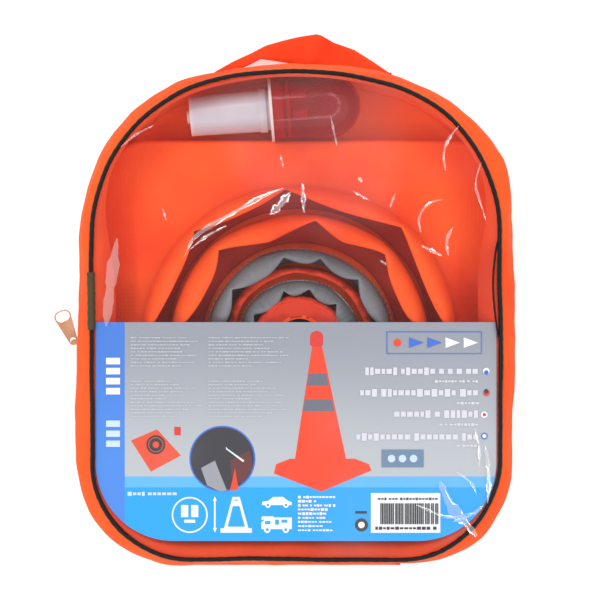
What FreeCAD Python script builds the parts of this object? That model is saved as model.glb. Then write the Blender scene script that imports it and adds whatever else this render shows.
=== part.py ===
"""Folding traffic cone kit: a pop-up cone and its lamp, packed in a zipped carrying bag.

The bag lies on its back panel.  X runs across it, Y towards the carrying handle and Z up through
the clear front.  The origin is the middle of the back panel's underside.  Lengths are millimetres.
"""
import FreeCAD, Part
import math
import os
import re
import Sketcher
from FreeCAD import Placement, Rotation, Vector

SIZES = {
    # cone base, and the room that the bag leaves round it
    "base_corner": 38, "base_across": 2, "base_along": -14,
    "side_room": 11, "foot_room": 14, "crown_room": 4.7, "corner_room": 22, "front_room": 6.1,
    "bag_shoulder": 92, "bag_crown": 190,
    # how far the clear front's outline lies inside the widest one
    "side_curve": 9, "crown_curve": 5, "foot_curve": 4, "shoulder_curve": 6,
    # cloth and shape of the two halves
    "cloth": 1.2, "panel_thickness": 1.0, "back_inset": 4.5, "back_curve_inset": 1.2,
    "back_curve_height": 8, "lip_inset": 0.9, "lip_half_gap": 3, "bulge_offset": 6.5,
    "curve_drop": 5.2, "front_curve_share": 0.3,
    "piping_radius": 1.1, "piping_inset": 0.6, "seam_clearance": 0.1,
    "film_thickness": 0.5, "film_inset": 1.8,
    # the printed card behind the lower half of the clear front
    "card_side": 2, "card_top": 3.9, "card_foot": 10.1, "card_corner_room": 12,
    "card_thickness": 0.4, "card_clearance": 0.3,
    # zip
    "tape_inset": 2.2, "tape_thickness": 0.6, "tape_width": 4, "chain_inset": 1.0,
    "chain_depth": 2.0, "chain_width": 1.4, "chain_gap": 1.2,
    "stop_length": 3, "stop_clearance": 0.2,
    "slider_place": 15.1, "slider_length": 9, "slider_width": 6.2, "slider_plate": 0.8,
    "slider_clearance": 0.5, "slider_post": 0.8, "slider_post_length": 2,
    "pull_reach": 2.9, "pull_span": 14.6, "pull_thickness": 1.2, "pull_rim": 0.7,
    "pull_eye": 1.8, "pull_pin": 0.7, "pull_clearance": 0.25,
    "pull_hole_width": 8, "pull_hole_depth": 5.6, "pull_rest_angle": 24,
    "bridge_ear": 0.8, "bridge_ear_width": 3, "bridge_clearance": 0.3,
    # cloth hinge along the straight lower edge
    "hinge_end": 3, "hinge_thickness": 0.8, "hinge_clearance": 0.3, "hinge_depth": 6.5,
    "hinge_rise": 0.6,
    # carrying handle and the two tabs that it is sewn to
    "handle_height": 6, "handle_thickness": 2.4, "handle_drop": 2.4, "handle_clearance": 0.4,
    "handle_left": 46, "handle_right": 54, "strap_left": 10, "strap_right": 12,
    "handle_rise": 21.5, "handle_peak": 12, "handle_bow": 120, "handle_inner_rise": 7.2,
    "handle_inner_peak": 20, "handle_round": 1.18,
    "tab_thickness": 4, "tab_inset": 0.9,
    # base
    "foot_height": 0.6, "foot_radius": 8, "foot_spacing": 150,
    "tray_height": 10.4, "tray_wall": 2, "tray_deck": 2, "rib_thickness": 1.6, "rib_spacing": 44,
    "cover_clearance": 0.2, "cover_height": 7.4,
    # sprung cone, folded flat: the widths of its six folds from the foot inwards, and how far
    # the crest of each lies under the clear front's seam
    "flange_width": 23, "cover_margin": 1, "fold_gap": 1.4, "fold_crest_share": 0.28,
    "fold_wall_share": 0.4, "fold_shoulder_share": 0.25, "fold_round": 0.15,
    "fold_width_1": 14, "fold_width_2": 17.6, "fold_width_3": 9.6,
    "fold_width_4": 4.1, "fold_width_5": 8.1, "fold_width_6": 6.1,
    "fold_drop_1": 2.2, "fold_drop_2": 2.2, "fold_drop_3": 4.7,
    "fold_drop_4": 10.2, "fold_drop_5": 4.7, "fold_drop_6": 3.2,
    "wire_radius": 0.8, "wire_clearance": 0.3, "wire_inset": 3,
    "collar_height": 18, "collar_rim": 2, "collar_flange": 7.1, "socket_clearance": 0.4,
    # lamp
    "lens_radius": 17.9, "lens_wall": 1.6, "lens_straight": 31.2, "lamp_clearance": 0.3,
    "lens_step_start": 13, "lens_step": 4.5, "lens_step_depth": 0.5,
    "lamp_seat": 2.5, "lamp_across": 11, "lamp_tilt": 4.5, "lens_setback": 24.1,
    "tube_room": 0.1, "tube_wall": 0.9, "tube_taper": 0.5,
    "tube_end": 1.4, "rim_margin": 0.7, "rim_start": 1.9, "rim_width": 4,
    "flange_thickness": 1.5, "flange_gap": 0.1, "spigot_length": 9.5, "spigot_clearance": 0.7,
    "seal_place": 6.7, "seal_section": 0.9, "seal_clearance": 0.2, "groove_clearance": 0.1,
    "cell_radius": 5.25, "cell_length": 44.5, "cell_spacing": 0.1, "cell_tip": 1.9,
    "cell_tip_length": 1, "contact_thickness": 0.6, "contact_margin": 0.9,
    "board_margin": 2, "board_thickness": 1.4, "board_contact_length": 3.7,
    "light_radius": 2.5, "light_height": 8,
    "light_circle": 7.5, "button_radius": 4, "button_rise": 1.8, "button_travel": 1.2,
    "button_clearance": 0.3, "switch_radius": 6, "switch_length": 4,
}
FORMULAS = {
    # the folded cone's foot, round which its square base is cut
    "collar_radius": "tube_radius + socket_clearance + collar_flange",
    "cone_foot": "collar_radius + 6 * fold_gap + fold_width_1 + fold_width_2 + fold_width_3"
                 " + fold_width_4 + fold_width_5 + fold_width_6",
    "base_width": "2 * (cone_foot + flange_width)",
    # the bag's widest outline, halfway up its sides, fits round the base and the lamp
    "lamp_along": "base_along + base_width / 2 + lens_radius + lamp_seat",
    "bag_width": "base_width + 2 * side_room",
    "bag_bottom": "base_width / 2 - base_along + foot_room",
    "bag_top": "lamp_along + lens_radius + crown_room",
    "bag_corner": "base_corner + corner_room",
    # the outline of the clear front, along its piping
    "front_width": "bag_width - 2 * side_curve",
    "front_top": "bag_top - crown_curve",
    "front_bottom": "bag_bottom - foot_curve",
    "front_corner": "bag_corner - crown_curve",
    "front_shoulder": "bag_shoulder - shoulder_curve",
    "front_crown": "bag_crown - crown_curve",
    # heights
    "front_seam_height": "panel_thickness + lamp_clearance + 2 * lens_radius + front_room",
    "zip_height": "(front_seam_height + panel_thickness) / 2",
    "front_full_height": "zip_height + bulge_offset",
    "back_full_height": "zip_height - bulge_offset",
    "front_curve_height": "front_seam_height - curve_drop",
    # card, hinge, handle, cone and lamp
    "card_half": "front_width / 2 - card_side",
    "card_bottom": "front_bottom - card_foot",
    "card_corner": "front_corner - card_corner_room",
    "hinge_length": "bag_width - 2 * bag_corner - 2 * hinge_end",
    "handle_seat": "bag_top - handle_drop",
    "cover_top": "cone_foot + cover_margin",
    "tube_hollow": "2 * cell_radius + cell_spacing + tube_room",
    "tube_radius": "tube_hollow + tube_wall",
    "rim_radius": "tube_radius + rim_margin",
    "tube_length": "tube_end + button_travel + button_clearance + switch_length"
                   " + contact_thickness + cell_length + board_contact_length"
                   " - spigot_length - flange_thickness - 2 * flange_gap",
}
for part in ("width", "top", "bottom", "corner", "shoulder", "crown"):
    FORMULAS[f"curve_{part}"] = f"bag_{part} + (front_{part} - bag_{part}) * front_curve_share"
FOLDS = ("sleeve_lower", "sleeve_middle", "band_lower", "sleeve_upper", "band_upper", "sleeve_top")
LENS_STEPS, LIGHTS = 3, 3

DOC = FreeCAD.newDocument("FoldingConeKit")
SHEET = DOC.addObject("Spreadsheet::Sheet", "Sizes")
for row, (name, number) in enumerate(SIZES.items(), 1):
    SHEET.set(f"A{row}", name)
    SHEET.set(f"B{row}", str(number))
    SHEET.setAlias(f"B{row}", name)
DOC.recompute()
PARTS = []


# ---------------------------------------------------------------- expressions and sketches

def cells(text):
    """Return a formula with each size's name written as the sheet's cell."""
    def spell(word):
        if word[0] in SIZES:
            return f"Sizes.{word[0]}"
        return f"({cells(FORMULAS[word[0]])})" if word[0] in FORMULAS else word[0]

    return re.sub(r"[a-z]\w*", spell, text)


def value(text):
    """Return the number that a formula of named sizes has now."""
    return float(SHEET.evalExpression(cells(text)))


def new_body(label):
    """Add a body that becomes one sub-part."""
    body = DOC.addObject("PartDesign::Body", label)
    PARTS.append(body)
    return body


def new_sketch(body, role, height="0"):
    """Add a sketch on one of the body's own planes, raised off it by a formula."""
    sketch = body.newObject("Sketcher::SketchObject", "Outline")
    plane = next(item for item in body.Origin.OriginFeatures if item.Role == role)
    sketch.AttachmentSupport = (plane, [""])
    sketch.MapMode = "FlatFace"
    sketch.setExpression(".AttachmentOffset.Base.z", cells(height))
    return sketch


def bind(sketch, kind, *where, size):
    """Add a dimension that follows a formula."""
    index = sketch.addConstraint(Sketcher.Constraint(kind, *where, value(size)))
    sketch.setExpression(f"Constraints[{index}]", cells(size))


def pin_point(sketch, edge, end, place):
    """Fix one end of an edge at a place given as two formulas."""
    for kind, axis, size in (("DistanceX", -2, place[0]), ("DistanceY", -1, place[1])):
        if size == "0":
            sketch.addConstraint(Sketcher.Constraint("PointOnObject", edge, end, axis))
        else:
            bind(sketch, kind, -1, 1, edge, end, size=size)


def round_edge(start, end, radius):
    """Return the short arc between two points that turns left, of a given radius."""
    chord = end - start
    reach = math.sqrt(max(radius * radius - chord.Length * chord.Length / 4, 0.0))
    centre = (start + end) * 0.5 + Vector(-chord.y, chord.x, 0).normalize() * reach
    first = math.atan2(start.y - centre.y, start.x - centre.x)
    last = math.atan2(end.y - centre.y, end.x - centre.x)
    if last < first:
        last += 2 * math.pi
    return Part.ArcOfCircle(Part.Circle(centre, Vector(0, 0, 1), radius), first, last)


def draw(sketch, points, arcs=None):
    """Draw a closed outline through points, with arcs from the points that have a radius.

    An arc turns left from its point to the next; a radius that starts with "right" turns right.
    """
    arcs = arcs or {}
    places = [Vector(value(x), value(y), 0) for x, y in points]
    ends = []
    for index, start in enumerate(places):
        finish = places[(index + 1) % len(places)]
        radius = arcs.get(index, "")
        if not radius:
            ends.append((sketch.addGeometry(Part.LineSegment(start, finish), False), 1, 2))
            continue
        turns_right = radius.startswith("right ")
        radius = radius.removeprefix("right ")
        pair = (finish, start) if turns_right else (start, finish)
        edge = sketch.addGeometry(round_edge(*pair, value(radius)), False)
        bind(sketch, "Radius", edge, size=radius)
        ends.append((edge, 2, 1) if turns_right else (edge, 1, 2))
    for index, (edge, first, _) in enumerate(ends):
        before, _, last = ends[index - 1]
        sketch.addConstraint(Sketcher.Constraint("Coincident", before, last, edge, first))
        pin_point(sketch, edge, first, points[index])
    return sketch


def draw_circle(sketch, radius, place=("0", "0")):
    """Draw a circle round a place."""
    centre = Vector(value(place[0]), value(place[1]), 0)
    edge = sketch.addGeometry(Part.Circle(centre, Vector(0, 0, 1), value(radius)), False)
    bind(sketch, "Radius", edge, size=radius)
    pin_point(sketch, edge, 3, place)
    return sketch


def hexagon(across, up, radius):
    """Return the corners of a six-sided cord or wire that lies flat, for draw()."""
    half, flat = f"({radius}) / 2", f"({radius}) * sqrt(3) / 2"
    return [(f"{across} - {half}", f"{up} - {flat}"), (f"{across} + {half}", f"{up} - {flat}"),
            (f"{across} + {radius}", up), (f"{across} + {half}", f"{up} + {flat}"),
            (f"{across} - {half}", f"{up} + {flat}"), (f"{across} - {radius}", up)]


def rectangle(left, bottom, right, top):
    """Return a rectangle's corners for draw()."""
    return [(left, bottom), (right, bottom), (right, top), (left, top)]


def draw_arch(sketch, outline, inset="0"):
    """Draw the bag's rounded arch: straight sides and foot, round corners, a flatter crown.

    outline names the sizes to use: "bag", "curve" or "front".  inset shrinks it evenly.
    """
    def text(part):
        return f"({outline}_{part} - ({inset}))"

    half = f"({outline}_width / 2 - ({inset}))"
    side, top, foot = value(half), value(text("top")), -value(text("bottom"))
    corner, shoulder, crown = value(text("corner")), value(text("shoulder")), value(text("crown"))
    low = foot + corner
    middle = top - crown
    high = middle + math.sqrt((crown - shoulder) ** 2 - (side - shoulder) ** 2)
    turn = math.atan2(high - middle, side - shoulder)
    up = Vector(0, 0, 1)

    def arc(x, y, radius, first, last):
        return Part.ArcOfCircle(Part.Circle(Vector(x, y, 0), up, radius), first, last)

    edges = [
        Part.LineSegment(Vector(side, low, 0), Vector(side, high, 0)),
        arc(side - shoulder, high, shoulder, 0, turn),
        arc(0, middle, crown, turn, math.pi - turn),
        arc(shoulder - side, high, shoulder, math.pi - turn, math.pi),
        Part.LineSegment(Vector(-side, high, 0), Vector(-side, low, 0)),
        arc(corner - side, low, corner, math.pi, 1.5 * math.pi),
        Part.LineSegment(Vector(corner - side, foot, 0), Vector(side - corner, foot, 0)),
        arc(side - corner, low, corner, 1.5 * math.pi, 2 * math.pi),
    ]
    first = sketch.addGeometry(edges, False)[0]
    for index in range(8):
        following = first + (index + 1) % 8
        sketch.addConstraint(Sketcher.Constraint("Tangent", first + index, 2, following, 1))
    sketch.addConstraint(Sketcher.Constraint("Vertical", first))
    sketch.addConstraint(Sketcher.Constraint("PointOnObject", first + 2, 3, -2))
    sketch.addConstraint(Sketcher.Constraint("Equal", first + 1, first + 3))
    sketch.addConstraint(Sketcher.Constraint("Equal", first + 5, first + 7))
    sketch.addConstraint(Sketcher.Constraint("Vertical", first + 4))
    sketch.addConstraint(Sketcher.Constraint("Horizontal", first + 6))
    bind(sketch, "Radius", first + 1, size=text("shoulder"))
    bind(sketch, "Radius", first + 2, size=text("crown"))
    bind(sketch, "Radius", first + 7, size=text("corner"))
    bind(sketch, "DistanceX", -1, 1, first, 1, size=half)
    bind(sketch, "DistanceY", first + 6, 1, -1, 1, size=text("bottom"))
    bind(sketch, "DistanceY", first + 2, 3, -1, 1, size=f"{outline}_crown - {outline}_top")
    return sketch


# ---------------------------------------------------------------- features

def pad(body, sketch, length):
    """Raise an outline along its plane's normal."""
    feature = body.newObject("PartDesign::Pad", "Pad")
    feature.Profile = sketch
    feature.setExpression("Length", cells(length))
    return feature


def pocket(body, sketch, length, upwards=False):
    """Sink an outline into the body; upwards cuts along the plane's normal."""
    feature = body.newObject("PartDesign::Pocket", "Pocket")
    feature.Profile = sketch
    feature.Reversed = upwards
    feature.setExpression("Length", cells(length))
    return feature


def revolve(body, sketch, axis="V_Axis"):
    """Turn an outline once round one of its sketch's axes."""
    feature = body.newObject("PartDesign::Revolution", "Revolution")
    feature.Profile = sketch
    feature.ReferenceAxis = (sketch, [axis])
    feature.Angle = 360
    return feature


def loft(body, sketches, kind="Additive"):
    """Skin a row of outlines, as new material or as a cut."""
    feature = body.newObject(f"PartDesign::{kind}Loft", f"{kind}Loft")
    feature.Profile = sketches[0]
    feature.Sections = [(sketch, [""]) for sketch in sketches[1:]]
    feature.Ruled = True
    return feature


def round_off(body, feature, radius, chosen):
    """Fillet the edges whose bounding box passes a test."""
    DOC.recompute()
    names = [f"Edge{number}" for number, edge in enumerate(feature.Shape.Edges, 1)
             if chosen(edge.BoundBox)]
    fillet = body.newObject("PartDesign::Fillet", "Fillet")
    fillet.Base = (feature, names)
    fillet.setExpression("Radius", cells(radius))
    return fillet


def place(body, across="0", along="0", height="0", turn="0", axis=Vector(0, 0, 1)):
    """Put a body at its place in the kit."""
    body.Placement = Placement(Vector(), Rotation(axis, value(turn)))
    for letter, size in (("x", across), ("y", along), ("z", height)):
        body.setExpression(f".Placement.Base.{letter}", cells(size))
    return body


# ---------------------------------------------------------------- bag

def arch_plate(label, outline, inset, height, thickness):
    """Make a flat piece in the shape of the bag's front or back."""
    body = new_body(label)
    pad(body, draw_arch(new_sketch(body, "XY_Plane", height), outline, inset), thickness)
    return body


def gusset(label, rings):
    """Make one half of the bag's wall from rings of (outline, height, inset)."""
    body = new_body(label)
    for kind, cloth in (("Additive", "0"), ("Subtractive", "cloth")):
        sketches = []
        for outline, height, inset in rings:
            sketch = new_sketch(body, "XY_Plane", height)
            sketches.append(draw_arch(sketch, outline, f"{inset} + {cloth}"))
        loft(body, sketches, kind)
    return body


def arch_band(label, height, width, inset, depth):
    """Make a strip that follows the bag's sides and crown and leaves the hinge free."""
    body = new_body(label)
    pad(body, draw_arch(new_sketch(body, "XY_Plane", height), "bag", inset), width)
    inner = draw_arch(new_sketch(body, "XY_Plane", height), "bag", f"{inset} + {depth}")
    pocket(body, inner, width, upwards=True)
    half = "(bag_width / 2 - bag_corner)"
    gap = rectangle(f"-{half}", "-bag_bottom - cloth", half, "-bag_bottom + bag_corner / 2")
    pocket(body, draw(new_sketch(body, "XY_Plane", height), gap), width, upwards=True)
    return body


def add_bag():
    """Add the bag's cloth, clear front, piping, card, hinge and zip."""
    arch_plate("back_panel", "bag", "back_inset", "0", "panel_thickness")
    gusset("back_gusset", [
        ("bag", "panel_thickness", "back_inset"),
        ("bag", "back_curve_height", "back_curve_inset"),
        ("bag", "back_full_height", "0"),
        ("bag", "zip_height - lip_half_gap", "lip_inset"),
    ])
    gusset("front_gusset", [
        ("bag", "zip_height + lip_half_gap", "lip_inset"),
        ("bag", "front_full_height", "0"),
        ("curve", "front_curve_height", "0"),
        ("front", "front_seam_height", "0"),
    ])
    film_height = "front_seam_height + seam_clearance"
    arch_plate("window", "front", "film_inset", film_height, "film_thickness")
    piping = new_body("front_piping")
    path = draw_arch(new_sketch(piping, "XY_Plane", "front_seam_height + piping_radius"),
                     "front", "piping_inset")
    section = draw(new_sketch(piping, "YZ_Plane"), hexagon(
        "-(front_bottom - piping_inset)", "(front_seam_height + piping_radius)", "piping_radius"))
    pipe = piping.newObject("PartDesign::AdditivePipe", "Pipe")
    pipe.Profile = section
    pipe.Spine = (path, [])
    card = new_body("insert_card")
    points = [("-card_half + card_corner", "-card_bottom"),
              ("card_half - card_corner", "-card_bottom"),
              ("card_half", "-card_bottom + card_corner"), ("card_half", "-card_top"),
              ("-card_half", "-card_top"), ("-card_half", "-card_bottom + card_corner")]
    sheet_height = f"{film_height} - card_clearance - card_thickness"
    outline = draw(new_sketch(card, "XY_Plane", sheet_height), points,
                   {1: "card_corner", 5: "card_corner"})
    pad(card, outline, "card_thickness")


def add_zip():
    """Add the two tapes and chains, the end stops, the slider and its pull."""
    lower, upper = "(zip_height - chain_gap / 2 - chain_width)", "(zip_height + chain_gap / 2)"
    arch_band("zip_chain_back", lower, "chain_width", "chain_inset", "chain_depth")
    arch_band("zip_chain_front", upper, "chain_width", "chain_inset", "chain_depth")
    arch_band("zip_tape_back", f"{lower} - tape_width", "tape_width", "tape_inset", "tape_thickness")
    arch_band("zip_tape_front", f"{upper} + chain_width", "tape_width", "tape_inset",
              "tape_thickness")
    for side, sign in (("left", "-"), ("right", "")):
        stop = new_body(f"zip_stop_{side}")
        outer = f"{sign}(bag_width / 2 - bag_corner - stop_clearance)"
        inner = f"{sign}(bag_width / 2 - bag_corner - stop_clearance - stop_length)"
        near, far = "-bag_bottom + chain_inset + chain_depth", "-bag_bottom + chain_inset"
        ends = (outer, inner) if sign else (inner, outer)
        pad(stop, draw(new_sketch(stop, "XY_Plane", lower), rectangle(ends[0], far, ends[1], near)),
            "chain_width")
    add_slider()


def add_slider():
    """Add the slider: two plates and a post that parts the chain, with a bridge for the pull."""
    side = "-(bag_width / 2)"
    outer_face = f"({side} + chain_inset - slider_clearance)"
    inner_face = f"({side} + chain_inset + chain_depth + slider_clearance)"
    slider = new_body("zip_slider")
    half = "slider_length / 2"
    low = "zip_height - slider_width / 2"
    for near, far in ((f"{outer_face} - slider_plate", outer_face),
                      (inner_face, f"{inner_face} + slider_plate")):
        plate = draw(new_sketch(slider, "XY_Plane", low), rectangle(near, f"-{half}", far, half))
        pad(slider, plate, "slider_width")
    post = rectangle(outer_face, "-slider_post_length / 2", inner_face, "slider_post_length / 2")
    pad(slider, draw(new_sketch(slider, "XY_Plane", "zip_height - slider_post / 2"), post),
        "slider_post")
    place(slider, along="-slider_place")
    pivot = f"({side} - pull_reach)"
    bridge = new_body("slider_bridge")
    ear = "(pull_thickness / 2 + bridge_clearance)"
    plate_face = f"{outer_face} - slider_plate"
    for height in (f"zip_height - {ear} - bridge_ear", f"zip_height + {ear}"):
        points = [(plate_face, "-bridge_ear_width / 2"), (plate_face, "bridge_ear_width / 2"),
                  (pivot, "bridge_ear_width / 2"), (f"{pivot} - bridge_ear_width / 2", "0"),
                  (pivot, "-bridge_ear_width / 2")]
        points.reverse()
        round_end = "bridge_ear_width / 2"
        pad(bridge, draw(new_sketch(bridge, "XY_Plane", height), points,
                         {0: f"right {round_end}", 1: f"right {round_end}"}), "bridge_ear")
    pin = draw_circle(new_sketch(bridge, "XY_Plane", f"zip_height - {ear} - bridge_ear"),
                      "pull_pin", (pivot, "0"))
    pad(bridge, pin, f"2 * {ear} + 2 * bridge_ear")
    place(bridge, along="-slider_place")
    add_pull(pivot)


def add_pull(pivot):
    """Add the slider's pull: a plate that widens from a round eye to an end with an oval hole."""
    pull = new_body("zip_pull_tab")
    eye = "(pull_eye - pull_pin - pull_clearance)"
    far = f"({eye} + pull_span)"
    outer, side = "(pull_eye + pull_rim)", "(pull_hole_width / 2 + pull_rim)"
    end = "(pull_hole_depth / 2 + pull_rim)"
    points = [(f"-{outer}", eye), ("0", f"{eye} - {outer}"), (outer, eye), (side, far),
              (f"{side} - {end}", f"{far} + {end}"), (f"-({side} - {end})", f"{far} + {end}"),
              (f"-{side}", far)]
    arcs = {0: outer, 1: outer, 3: end, 5: end}
    pad(pull, draw(new_sketch(pull, "XY_Plane"), points, arcs), "pull_thickness")
    hole = draw_circle(new_sketch(pull, "XY_Plane"), "pull_eye", ("0", eye))
    pocket(pull, hole, "pull_thickness", upwards=True)
    half, flat = "(pull_hole_depth / 2)", "((pull_hole_width - pull_hole_depth) / 2)"
    points = [(f"-{flat}", f"{far} - {half}"), (flat, f"{far} - {half}"),
              (f"{flat} + {half}", far), (flat, f"{far} + {half}"),
              (f"-{flat}", f"{far} + {half}"), (f"-{flat} - {half}", far)]
    oval = draw(new_sketch(pull, "XY_Plane"), points, {1: half, 2: half, 4: half, 5: half})
    pocket(pull, oval, "pull_thickness", upwards=True)
    place(pull, pivot, "-slider_place", "zip_height - pull_thickness / 2", "pull_rest_angle")


def add_hinge():
    """Add the cloth strip along the lower edge that the front swings on."""
    hinge = new_body("hinge_strip")
    near = "-(bag_bottom + hinge_clearance)"
    points = rectangle(f"{near} - hinge_thickness", "zip_height - hinge_depth", near,
                       "zip_height + hinge_rise")
    sketch = draw(new_sketch(hinge, "YZ_Plane", "-hinge_length / 2"), points)
    pad(hinge, sketch, "hinge_length")


def add_handle():
    """Add the two sewn tabs and the strap loop that swings on them."""
    radius = "(bag_crown - tab_inset + handle_clearance / 2)"
    centre = "(bag_top - bag_crown)"
    for side, near, far in (("left", "-handle_left", "-handle_left + strap_left"),
                            ("right", "handle_right - strap_right", "handle_right")):
        tab = new_body(f"handle_tab_{side}")
        low_near = f"{centre} + sqrt({radius}^2 - ({near})^2)"
        low_far = f"{centre} + sqrt({radius}^2 - ({far})^2)"
        points = [(near, low_near), (far, low_far), (far, "handle_seat"), (near, "handle_seat")]
        sketch = new_sketch(tab, "XY_Plane", "handle_height - tab_thickness / 2")
        pad(tab, draw(sketch, points, {0: f"right {radius}"}), "tab_thickness")
    strap = new_body("carry_handle")
    line = "(handle_seat + handle_clearance)"
    points = [("-handle_left", line), ("-handle_left + strap_left", line),
              ("-handle_inner_peak", f"{line} + handle_inner_rise"),
              ("handle_right - strap_right", line), ("handle_right", line),
              ("handle_peak", f"{line} + handle_rise")]
    sketch = new_sketch(strap, "XY_Plane", "handle_height - handle_thickness / 2")
    loop = pad(strap, draw(sketch, points, {5: "handle_bow"}), "handle_thickness")
    seat = value(line)
    round_off(strap, loop, "handle_round",
              lambda box: box.YMax < seat + 0.01 and box.XLength > 1)


# ---------------------------------------------------------------- cone base

def draw_rounded_square(sketch, width, corner):
    """Draw a square with round corners, centred on the sketch."""
    edge, start = f"({width}) / 2", f"(({width}) / 2 - ({corner}))"
    points = [(f"-{start}", f"-{edge}"), (start, f"-{edge}"), (edge, f"-{start}"), (edge, start),
              (start, edge), (f"-{start}", edge), (f"-{edge}", start), (f"-{edge}", f"-{start}")]
    return draw(sketch, points, {1: corner, 3: corner, 5: corner, 7: corner})


def add_base():
    """Add the moulded tray with ribs and feet, and the cloth cover over it."""
    centre = ("base_across", "base_along")
    tray_bottom = "panel_thickness + foot_height"
    tray = new_body("base_tray")
    pad(tray, draw_rounded_square(new_sketch(tray, "XY_Plane"), "base_width", "base_corner"),
        "tray_height")
    hollow = draw_rounded_square(new_sketch(tray, "XY_Plane"), "base_width - 2 * tray_wall",
                                 "base_corner - tray_wall")
    pocket(tray, hollow, "tray_height - tray_deck", upwards=True)
    length = "(base_width - 2 * tray_wall) / 2"
    for step in range(-2, 3):
        middle = f"{step} * rib_spacing"
        reach = length if abs(step) < 2 else f"{length} - base_corner / 2"
        across = rectangle(f"-({reach})", f"{middle} - rib_thickness / 2", reach,
                           f"{middle} + rib_thickness / 2")
        along = [(x, y) for y, x in across][::-1]
        for points in (across, along):
            rib = draw(new_sketch(tray, "XY_Plane", "foot_height"), points)
            pad(tray, rib, "tray_height - tray_deck - foot_height")
    place(tray, *centre, tray_bottom)
    for number, (right, up) in enumerate(((-1, -1), (1, -1), (1, 1), (-1, 1)), 1):
        foot = DOC.addObject("Part::Cylinder", f"base_foot_{number}")
        foot.setExpression("Radius", cells("foot_radius"))
        foot.setExpression("Height", cells("foot_height"))
        place(foot, f"base_across + {right} * foot_spacing / 2",
              f"base_along + {up} * foot_spacing / 2", "panel_thickness")
        PARTS.append(foot)
    cover = new_body("base_cover")
    square = draw_rounded_square(new_sketch(cover, "XY_Plane"), "base_width", "base_corner")
    start, edge = "cover_top * cos(22.5deg)", "cover_top * sin(22.5deg)"
    points = [(f"-({edge})", f"-({start})"), (edge, f"-({start})"), (start, f"-({edge})"),
              (start, edge), (edge, start), (f"-({edge})", start), (f"-({start})", edge),
              (f"-({start})", f"-({edge})")]
    top = draw(new_sketch(cover, "XY_Plane", "cover_height"), points,
               {number: "cover_top" for number in range(8)})
    loft(cover, [square, top])
    place(cover, *centre, f"{tray_bottom} + tray_height + cover_clearance")


# ---------------------------------------------------------------- folded cone

def add_cone():
    """Add the six folds from the foot inwards, each on its turn of wire, and the lamp collar."""
    deck = "(panel_thickness + foot_height + tray_height + cover_clearance + cover_height)"
    seat = f"({deck} + wire_clearance)"
    hem = f"({seat} + 2 * wire_radius + wire_clearance)"
    outer = "cone_foot"
    for number, label in enumerate(FOLDS, 1):
        width = f"fold_width_{number}"
        crest = f"(front_seam_height - fold_drop_{number})"
        height = f"({crest} - {hem})"
        inner = f"({outer} - {width})"
        points = [(outer, hem), (outer, f"{hem} + fold_wall_share * {height}"),
                  (f"{outer} - fold_shoulder_share * {width}", f"{crest} - fold_round * {height}"),
                  (f"{inner} + fold_crest_share * {width}", crest), (inner, hem)]
        fold = new_body(label)
        revolve(fold, draw(new_sketch(fold, "XZ_Plane"), points))
        place(fold, "base_across", "base_along")
        add_wire_turn(number, f"({outer} - min(wire_inset; {width} / 2))", seat)
        outer = f"({inner} - fold_gap)"
    collar = new_body("lamp_collar")
    bore = "(tube_radius + socket_clearance)"
    points = [(bore, seat), (outer, seat), (outer, f"{seat} + collar_rim"),
              (f"{bore} + collar_rim", f"{seat} + collar_rim + ({outer} - {bore} - collar_rim)"),
              (f"{bore} + collar_rim", f"{seat} + collar_height"),
              (bore, f"{seat} + collar_height")]
    revolve(collar, draw(new_sketch(collar, "XZ_Plane"), points))
    place(collar, "base_across", "base_along")


def add_wire_turn(number, radius, seat):
    """Add one turn of the spring, which lies flat on the base."""
    wire = new_body(f"spring_turn_{number}")
    section = hexagon(radius, f"({seat} + wire_radius)", "wire_radius")
    revolve(wire, draw(new_sketch(wire, "XZ_Plane"), section))
    place(wire, "base_across", "base_along")


# ---------------------------------------------------------------- lamp

def turned(label, points, arcs=None):
    """Turn a lamp piece round the lamp's axis, measured from the lens's open end."""
    body = new_body(label)
    revolve(body, draw(new_sketch(body, "XZ_Plane"), points, arcs), "H_Axis")
    return seat_on_lamp(body)


def seat_on_lamp(body, along_axis="0"):
    """Put a piece on the lamp's tilted axis."""
    back = f"({along_axis} - lens_setback)"
    return place(body, f"lamp_across + {back} * cos(lamp_tilt * 1deg)",
                 f"lamp_along + {back} * sin(lamp_tilt * 1deg)",
                 "panel_thickness + lamp_clearance + lens_radius", "lamp_tilt")


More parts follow.
